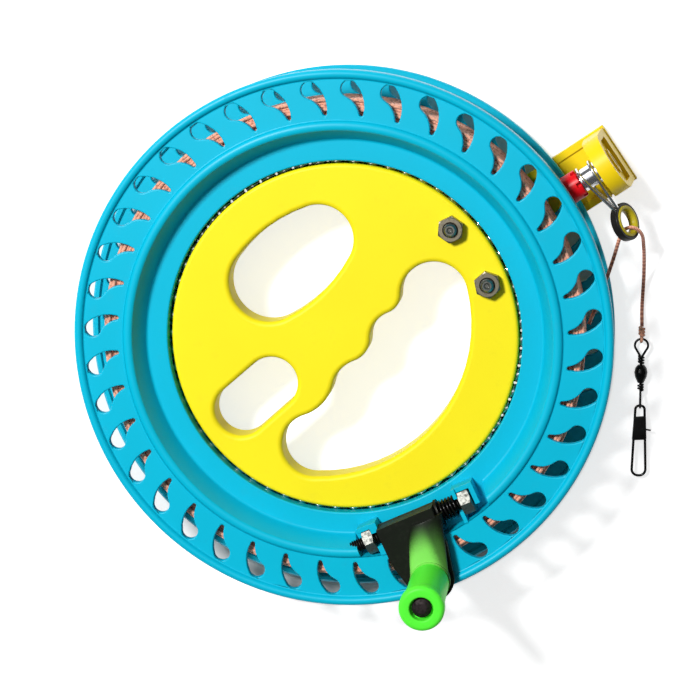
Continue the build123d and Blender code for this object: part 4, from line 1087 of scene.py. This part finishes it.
def make_grip(colours):
    """Turning grip and the screw in its end."""
    high = GRIP_LOW + GRIP_LENGTH
    neck = high - 0.22 * GRIP_LENGTH
    shoulder = high - GRIP_BORE_DEPTH
    body = lathe("grip", softened([
        (POST_R, GRIP_LOW, 0.1), (GRIP_BASE_R, GRIP_LOW, 0.5), (GRIP_BASE_R + 0.25, neck, 1.2),
        (GRIP_END_R, neck + 2.6, 1.0), (GRIP_END_R, high, 1.3), (GRIP_BORE_R, high, 0.5),
        (GRIP_BORE_R, shoulder, 0.3), (POST_R, shoulder, 0.1)], 6), 96)
    finish(body, "green_grip", "knob", "grip_plastic",
           moulded("grip_moulding", colours.grip, 0.40, 0.1), "grip", place=GRIP_FRAME)
    top = shoulder + 0.1
    screw = lathe("screw", softened([
        (0, top - 8, 0), (1.25, top - 8, 0.3), (1.25, top, 0.1), (2.9, top, 0.2),
        (2.9, top + 1.0, 0.6), (1.6, top + 1.8, 1.2), (0, top + 1.8, 0)], 4), 48)
    finish(screw, "grip_end_screw", "crank", "swivel_metal",
           plated("screw_black", (0.050, 0.040, 0.042), 0.6, 0.7), "grip_screw",
           place=GRIP_FRAME)


# ---------------------------------------------------------------- line guide
def make_guide_arm(sizes, colours):
    """Yellow bracket behind the wheel, with its bolts and nuts."""
    arm = merged_copy("guide_arm", "bracket")
    round_edges(arm, sizes.moulding_rounding / MM, 3, 50, True)
    finish(arm, "guide_bracket", "frame", "arm_plastic",
           moulded("bracket_moulding", colours.guide_arm, 0.36, 0.1), "guide_arm", smooth=40)
    zinc = plated("nut_plating", colours.zinc, 0.22, 0.55)
    bolts, nuts = [], []
    for side in (-1, 1):
        at = GUIDE_FRAME @ Matrix.Translation((ARM_BOLT[0], side * ARM_BOLT[1], 0))
        tail = PLATE_TOP + M4_NUT_H + ARM_BOLT_TAIL
        seat = TABLE_Z + 2.6
        shaft = threaded("shaft", -tail, -seat, 2 * HINGE_BORE, M4_PITCH, 0.6)
        turned_to(shaft, Matrix.Rotation(pi, 4, "X"))
        dimple = lathe("dimple", [(0, tail - 0.5), (0.5, tail - 0.5), (1.1, tail + 0.1),
                                  (0, tail + 0.1)], 24)
        cut(shaft, dimple)
        head = lathe("head", softened([(0, seat - 2.4, 0), (2.4, seat - 2.4, 0.6),
                                       (3.6, seat - 1.4, 0.5), (3.6, seat, 0.2), (0, seat, 0)],
                                      3), 40)
        cross = turned_to(cross_recess("cross", 3.6, 0.9, 1.5, 1.5),
                          Matrix.Translation((0, 0, seat - 2.4)) @ Matrix.Rotation(pi, 4, "X"))
        cut(head, cross)
        bolts.append(turned_to(joined("bolt", shaft, head), at))
        nut = hexagon("nut", M4_AF, PLATE_TOP, PLATE_TOP + M4_NUT_H, HINGE_BORE, 0.5)
        nuts.append(turned_to(nut, at @ Matrix.Rotation(radians(-30 + 22 * side), 4, "Z")))
    finish(joined("bolts", *bolts), "bracket_bolts", "frame", "zinc_steel", zinc, "arm_bolts")
    finish(joined("nuts", *nuts), "bracket_nuts", "frame", "zinc_steel",
           plated("nut_bronze", colours.bronze, 0.32, 0.9), "arm_nuts")


def make_pin_and_cap(colours):
    """Pin, chrome sleeve and red notched cap."""
    sleeve = lathe("sleeve", softened([
        (PIN_R + 0.05, SLEEVE_X[0], 0.1), (SLEEVE_R, SLEEVE_X[0], 0.2),
        (SLEEVE_R, SLEEVE_X[1], 0.2), (PIN_R + 0.05, SLEEVE_X[1], 0.1)], 3), 72)
    finish(sleeve, "chrome_sleeve", "guide", "sleeve_chrome",
           polished("sleeve_polish", colours.chrome, 0.20), "guide_sleeve", place=PIN_FRAME)
    low, high = CAP_X
    cap = lathe("cap", softened([
        (0, low, 0), (CAP_R, low, 0.7), (CAP_R, high, 0.25), (PIN_R, high, 0.1),
        (PIN_R, low + CAP_END_WALL, 0.1), (0, low + CAP_END_WALL, 0)], 4), 72)
    notch = box("notch", (CAP_R - CAP_NOTCH, CAP_R + 2), (-CAP_NOTCH / 2, CAP_NOTCH / 2),
                (high - CAP_NOTCH, high + 1))
    cut(cap, ring_of(notch, CAP_NOTCHES))
    round_edges(cap, 0.15, 2, 50, True)
    finish(cap, "red_cap", "frame", "cap_plastic",
           moulded("cap_moulding", colours.cap, 0.30, 0.3), "pin_cap", place=PIN_FRAME)
    repaint("guide_pin", plated("pin_plating", colours.zinc, 0.3))


def make_ring(colours):
    """Ring with its insert, and the two wires that carry it."""
    body = lathe("ring", softened([
        (RING_R - RING_WALL, -RING_HALF, 0.1), (RING_R, -RING_HALF, 0.35),
        (RING_R, RING_HALF, 0.35), (RING_R - RING_WALL, RING_HALF, 0.1)], 4), 72)
    finish(body, "black_ring", "guide", "ring_plastic",
           moulded("ring_moulding", colours.ring, 0.35, 0.0), "ring_frame", place=RING_FRAME)
    outer = RING_R - RING_WALL - 0.02
    insert = lathe("insert", softened([
        (RING_HOLE_R, -0.4, 0.3), (RING_HOLE_R, 0.4, 0.3), (RING_HOLE_R + 0.6, 1.5, 0.5),
        (outer, 1.5, 0.25), (outer, -1.5, 0.25), (RING_HOLE_R + 0.6, -1.5, 0.5)], 4), 72)
    finish(insert, "olive_insert", "guide", "insert_plastic",
           moulded("insert_moulding", colours.insert, 0.25, 0.15), "ring_insert",
           place=RING_FRAME)
    repaint("guide_wire", polished("guide_wire_polish", (0.78, 0.78, 0.78), 0.22))


# ---------------------------------------------------------------- free line, swivel and snap
def make_free_line(sizes, colours):
    """Loose end of the line, from the winding through the ring to the swivel."""
    curve = bpy.data.curves.new("loose_line", "CURVE")
    curve.dimensions = "3D"
    curve.bevel_depth = sizes.line_diameter / 2
    curve.bevel_resolution = 3
    curve.resolution_u = 12
    curve.use_fill_caps = True
    spline = curve.splines.new("NURBS")
    spline.points.add(len(LINE_ROUTE) - 1)
    for spot, point in zip(spline.points, LINE_ROUTE):
        spot.co = (*(Vector(point) * MM), 1)
    spline.order_u = 3
    spline.use_endpoint_u = True
    line = bpy.data.objects.new("loose_line", curve)
    bpy.context.scene.collection.objects.link(line)
    pitch = 2.2
    # painted light: the free line's copy is lifted 1.35 times lighter than the line's own colour
    curve.materials.append(braided("line_free", colours, 2 * pi * LINE_LENGTH / pitch, 1.35))
    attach(line, "frame")
    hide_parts("free_line")
    return line


def at_swivel(points, turn=0.0):
    """Points drawn about Z, with z along the swivel, moved to its axis."""
    spots = [Matrix.Rotation(turn, 3, "Z") @ Vector(p) for p in points]
    return [(SWIVEL_X + p.x, p.z, SWIVEL_Z + p.y) for p in spots]


def eye_points(radius, centre_y, neck_y, gap):
    """Teardrop wire eye from one side of the neck to the other, as (across, along) points."""
    lean = radians(48)
    way = 1 if neck_y < centre_y else -1
    start, end = -pi / 2 + lean, 3 * pi / 2 - lean
    round_part = [(radius * cos(a), centre_y + way * radius * sin(a))
                  for a in (start + (end - start) * i / 28 for i in range(29))]
    return [(gap, neck_y)] + round_part + [(-gap, neck_y)]


def make_swivel(colours):
    """Barrel swivel with its twisted wire eyes, and the snap."""
    black = black_metal("swivel_black", colours.black_wire)
    gauge = 0.72
    upper = eye_points(1.98, EYE_Y + 0.05, BARREL_TOP_Y + 2.6, 0.30)
    loop_wire = wire("eye", at_swivel([(x, 0, y) for x, y in upper]), gauge)
    wraps = wire("wraps", at_swivel(helix(0.72, BARREL_TOP_Y + 0.55, BARREL_TOP_Y + 2.7, 2.6)),
                 gauge)
    stem = wire("stem", at_swivel([(0, 0, BARREL_TOP_Y - 0.4), (0, 0, BARREL_TOP_Y + 2.7)]), 0.9)
    finish(joined("eye", loop_wire, wraps, stem), "upper_wire_eye", "frame", "swivel_metal",
           black, "swivel_eye", smooth=60)
    low, high = BARREL_LOW_Y, BARREL_TOP_Y
    middle = (low + high) / 2
    barrel = lathe("barrel", softened([
        (0, low, 0), (0.95, low, 0.25), (1.75, middle - 1.0, 1.6), (2.03, middle + 0.45, 1.2),
        (1.72, middle + 1.85, 0.9), (0.98, high, 0.25), (0, high, 0)], 6), 56)
    turned_to(barrel, Matrix(((1, 0, 0, SWIVEL_X), (0, 0, 1, 0), (0, 1, 0, SWIVEL_Z),
                              (0, 0, 0, 1))))
    with editing(barrel):
        bpy.ops.mesh.normals_make_consistent(inside=False)
    finish(barrel, "barrel", "swivel", "swivel_metal", black, "swivel_barrel", smooth=60)
    lower = eye_points(1.7, LOWER_EYE_Y + 0.1, low - 2.2, 0.30)
    loop_wire = wire("eye", at_swivel([(0, x, y) for x, y in lower]), gauge)
    wraps = wire("wraps", at_swivel(helix(0.70, low - 0.5, low - 2.3, 2.2)), gauge)
    stem = wire("stem", at_swivel([(0, 0, low + 0.4), (0, 0, low - 2.4)]), 0.9)
    finish(joined("eye", loop_wire, wraps, stem), "lower_wire_eye", "lower_link",
           "swivel_metal", black, "lower_eye", smooth=60)

    sleeve_y = (-33.6, -26.0)
    top, foot = 1.35, 2.15
    outline = softened([(top, SNAP_TOP_Y, 1.2), (-top, SNAP_TOP_Y, 1.2),
                        (-foot, SNAP_BOTTOM_Y, 1.9), (foot, SNAP_BOTTOM_Y, 1.9)], 8)
    snap = wire("snap", [(SWIVEL_X + x, y, SWIVEL_Z) for x, y in outline], 0.8, closed=True)
    stub_y = sum(sleeve_y) / 2 - 0.2
    stub = wire("stub", [(SWIVEL_X + 1.0, stub_y + 0.1, SWIVEL_Z + 0.6),
                         (SWIVEL_X + 3.4, stub_y - 0.2, SWIVEL_Z + 1.0)], 0.55)
    finish(joined("snap", snap, stub), "snap_loop", "snap", "swivel_metal", black, "snap_wire",
           smooth=60)
    plate = prism("sleeve", [(-1.85, sleeve_y[1] - 0.35), (-2.25, sleeve_y[0]),
                             (2.2, sleeve_y[0] + 0.3), (1.85, sleeve_y[1])], -0.8, 0.8)
    turned_to(plate, Matrix.Translation((SWIVEL_X, 0, SWIVEL_Z)))
    round_edges(plate, 0.45, 4, 40)
    finish(plate, "snap_plate", "snap", "swivel_metal",
           moulded("snap_plate_black", shade(colours.black_wire, 0.8), 0.35, 0.0), "snap_sleeve")


def make_knot(sizes, colours):
    """Loop of line round the swivel's eye, and its short knot."""
    diameter = sizes.line_diameter / MM * 0.85
    eye_y = EYE_Y + 0.05 + 1.98
    reach = (0.72 + diameter) / 2 + 0.02
    bend = [(0.12 * cos(a), reach * sin(a), eye_y + reach * cos(a))
            for a in (radians(100 + 160 * i / 12) for i in range(13))]
    path = [(0.28, 0.30, 1.3)] + bend + [(-0.28, -0.30, 1.3)]
    looped = wire("loop", [(SWIVEL_X + x, z, SWIVEL_Z + y) for x, y, z in path], diameter)
    wraps = wire("wraps", at_swivel(helix(0.62, eye_y + reach + 0.35, 1.35, 2.5)), diameter)
    # painted light: the knot's copy of the line is lifted 1.35 times lighter than the line's own
    # colour
    return finish(joined("knot", looped, wraps), "line_loop", "frame", "line_cord",
                  braided("line_knotted", colours, painted_light_lift=1.35), "line_knot", smooth=70)


# ---------------------------------------------------------------- operators
def settings_of(context):
    """The size and colour settings of the scene."""
    return context.scene.winder_sizes, context.scene.winder_colours


class WINDER_OT_stage(Operator):
    """Add the floor, the studio light and the camera"""
    bl_idname = "winder.stage"
    bl_label = "Stage"

    def execute(self, context):
        make_stage()
        return {"FINISHED"}


class WINDER_OT_free_line(Operator):
    """Add the loose end of the line with its knot, swivel and snap"""
    bl_idname = "winder.free_line"
    bl_label = "Free line and swivel"

    def execute(self, context):
        sizes, colours = settings_of(context)
        line = make_free_line(sizes, colours)
        make_swivel(colours)
        make_knot(sizes, colours)
        return {"FINISHED"}


class WINDER_OT_wheel(Operator):
    """Model both slotted halves of the wheel and their screws"""
    bl_idname = "winder.wheel"
    bl_label = "Wheel"

    def execute(self, context):
        make_wheel(*settings_of(context))
        return {"FINISHED"}


class WINDER_OT_wound_line(Operator):
    """Wind layers of line on the drum"""
    bl_idname = "winder.wound_line"
    bl_label = "Wound line"

    def execute(self, context):
        make_wound_line(*settings_of(context))
        return {"FINISHED"}


class WINDER_OT_hand_plate(Operator):
    """Model the plate that the hand holds"""
    bl_idname = "winder.hand_plate"
    bl_label = "Hand plate"

    def execute(self, context):
        make_hand_plate(*settings_of(context))
        return {"FINISHED"}


class WINDER_OT_balls(Operator):
    """Add the bearing balls between plate and wheel"""
    bl_idname = "winder.balls"
    bl_label = "Bearing balls"

    def execute(self, context):
        make_balls(*settings_of(context))
        return {"FINISHED"}


class WINDER_OT_crank(Operator):
    """Model the crank: hinge, spring, folding arm and grip"""
    bl_idname = "winder.crank"
    bl_label = "Crank"

    def execute(self, context):
        colours = settings_of(context)[1]
        make_hinge(colours)
        make_crank_arm(colours)
        make_grip(colours)
        return {"FINISHED"}


class WINDER_OT_guide(Operator):
    """Model the line guide: bracket, bolts, pin, cap, ring and wires"""
    bl_idname = "winder.guide"
    bl_label = "Line guide"

    def execute(self, context):
        sizes, colours = settings_of(context)
        make_guide_arm(sizes, colours)
        make_pin_and_cap(colours)
        make_ring(colours)
        return {"FINISHED"}


OPERATORS = (
    WINDER_OT_stage,
    WINDER_OT_free_line,
    WINDER_OT_wheel,
    WINDER_OT_wound_line,
    WINDER_OT_hand_plate,
    WINDER_OT_balls,
    WINDER_OT_crank,
    WINDER_OT_guide,
)


class WINDER_PT_panel(Panel):
    """Sidebar panel with the winder's settings and pieces"""
    bl_idname = "WINDER_PT_panel"
    bl_label = "Kite Line Winder"
    bl_space_type = "VIEW_3D"
    bl_region_type = "UI"
    bl_category = "Winder"

    def draw(self, context):
        for group in settings_of(context):
            column = self.layout.column(align=True)
            for key in group.__annotations__:
                column.prop(group, key)
        column = self.layout.column(align=True)
        for operator in OPERATORS:
            column.operator(operator.bl_idname)


CLASSES = (WinderSizes, WinderColours, *OPERATORS, WINDER_PT_panel)


def register():
    """Register the classes and the scene's settings."""
    for cls in CLASSES:
        bpy.utils.register_class(cls)
    bpy.types.Scene.winder_sizes = PointerProperty(type=WinderSizes)
    bpy.types.Scene.winder_colours = PointerProperty(type=WinderColours)


def unregister():
    """Remove the settings and the classes."""
    del bpy.types.Scene.winder_colours
    del bpy.types.Scene.winder_sizes
    for cls in reversed(CLASSES):
        bpy.utils.unregister_class(cls)


def main():
    """Make every piece in order."""
    register()
    for operator in OPERATORS:
        group, name = operator.bl_idname.split(".")
        getattr(getattr(bpy.ops, group), name)()
    select_only()


if __name__ == "__main__":
    main()
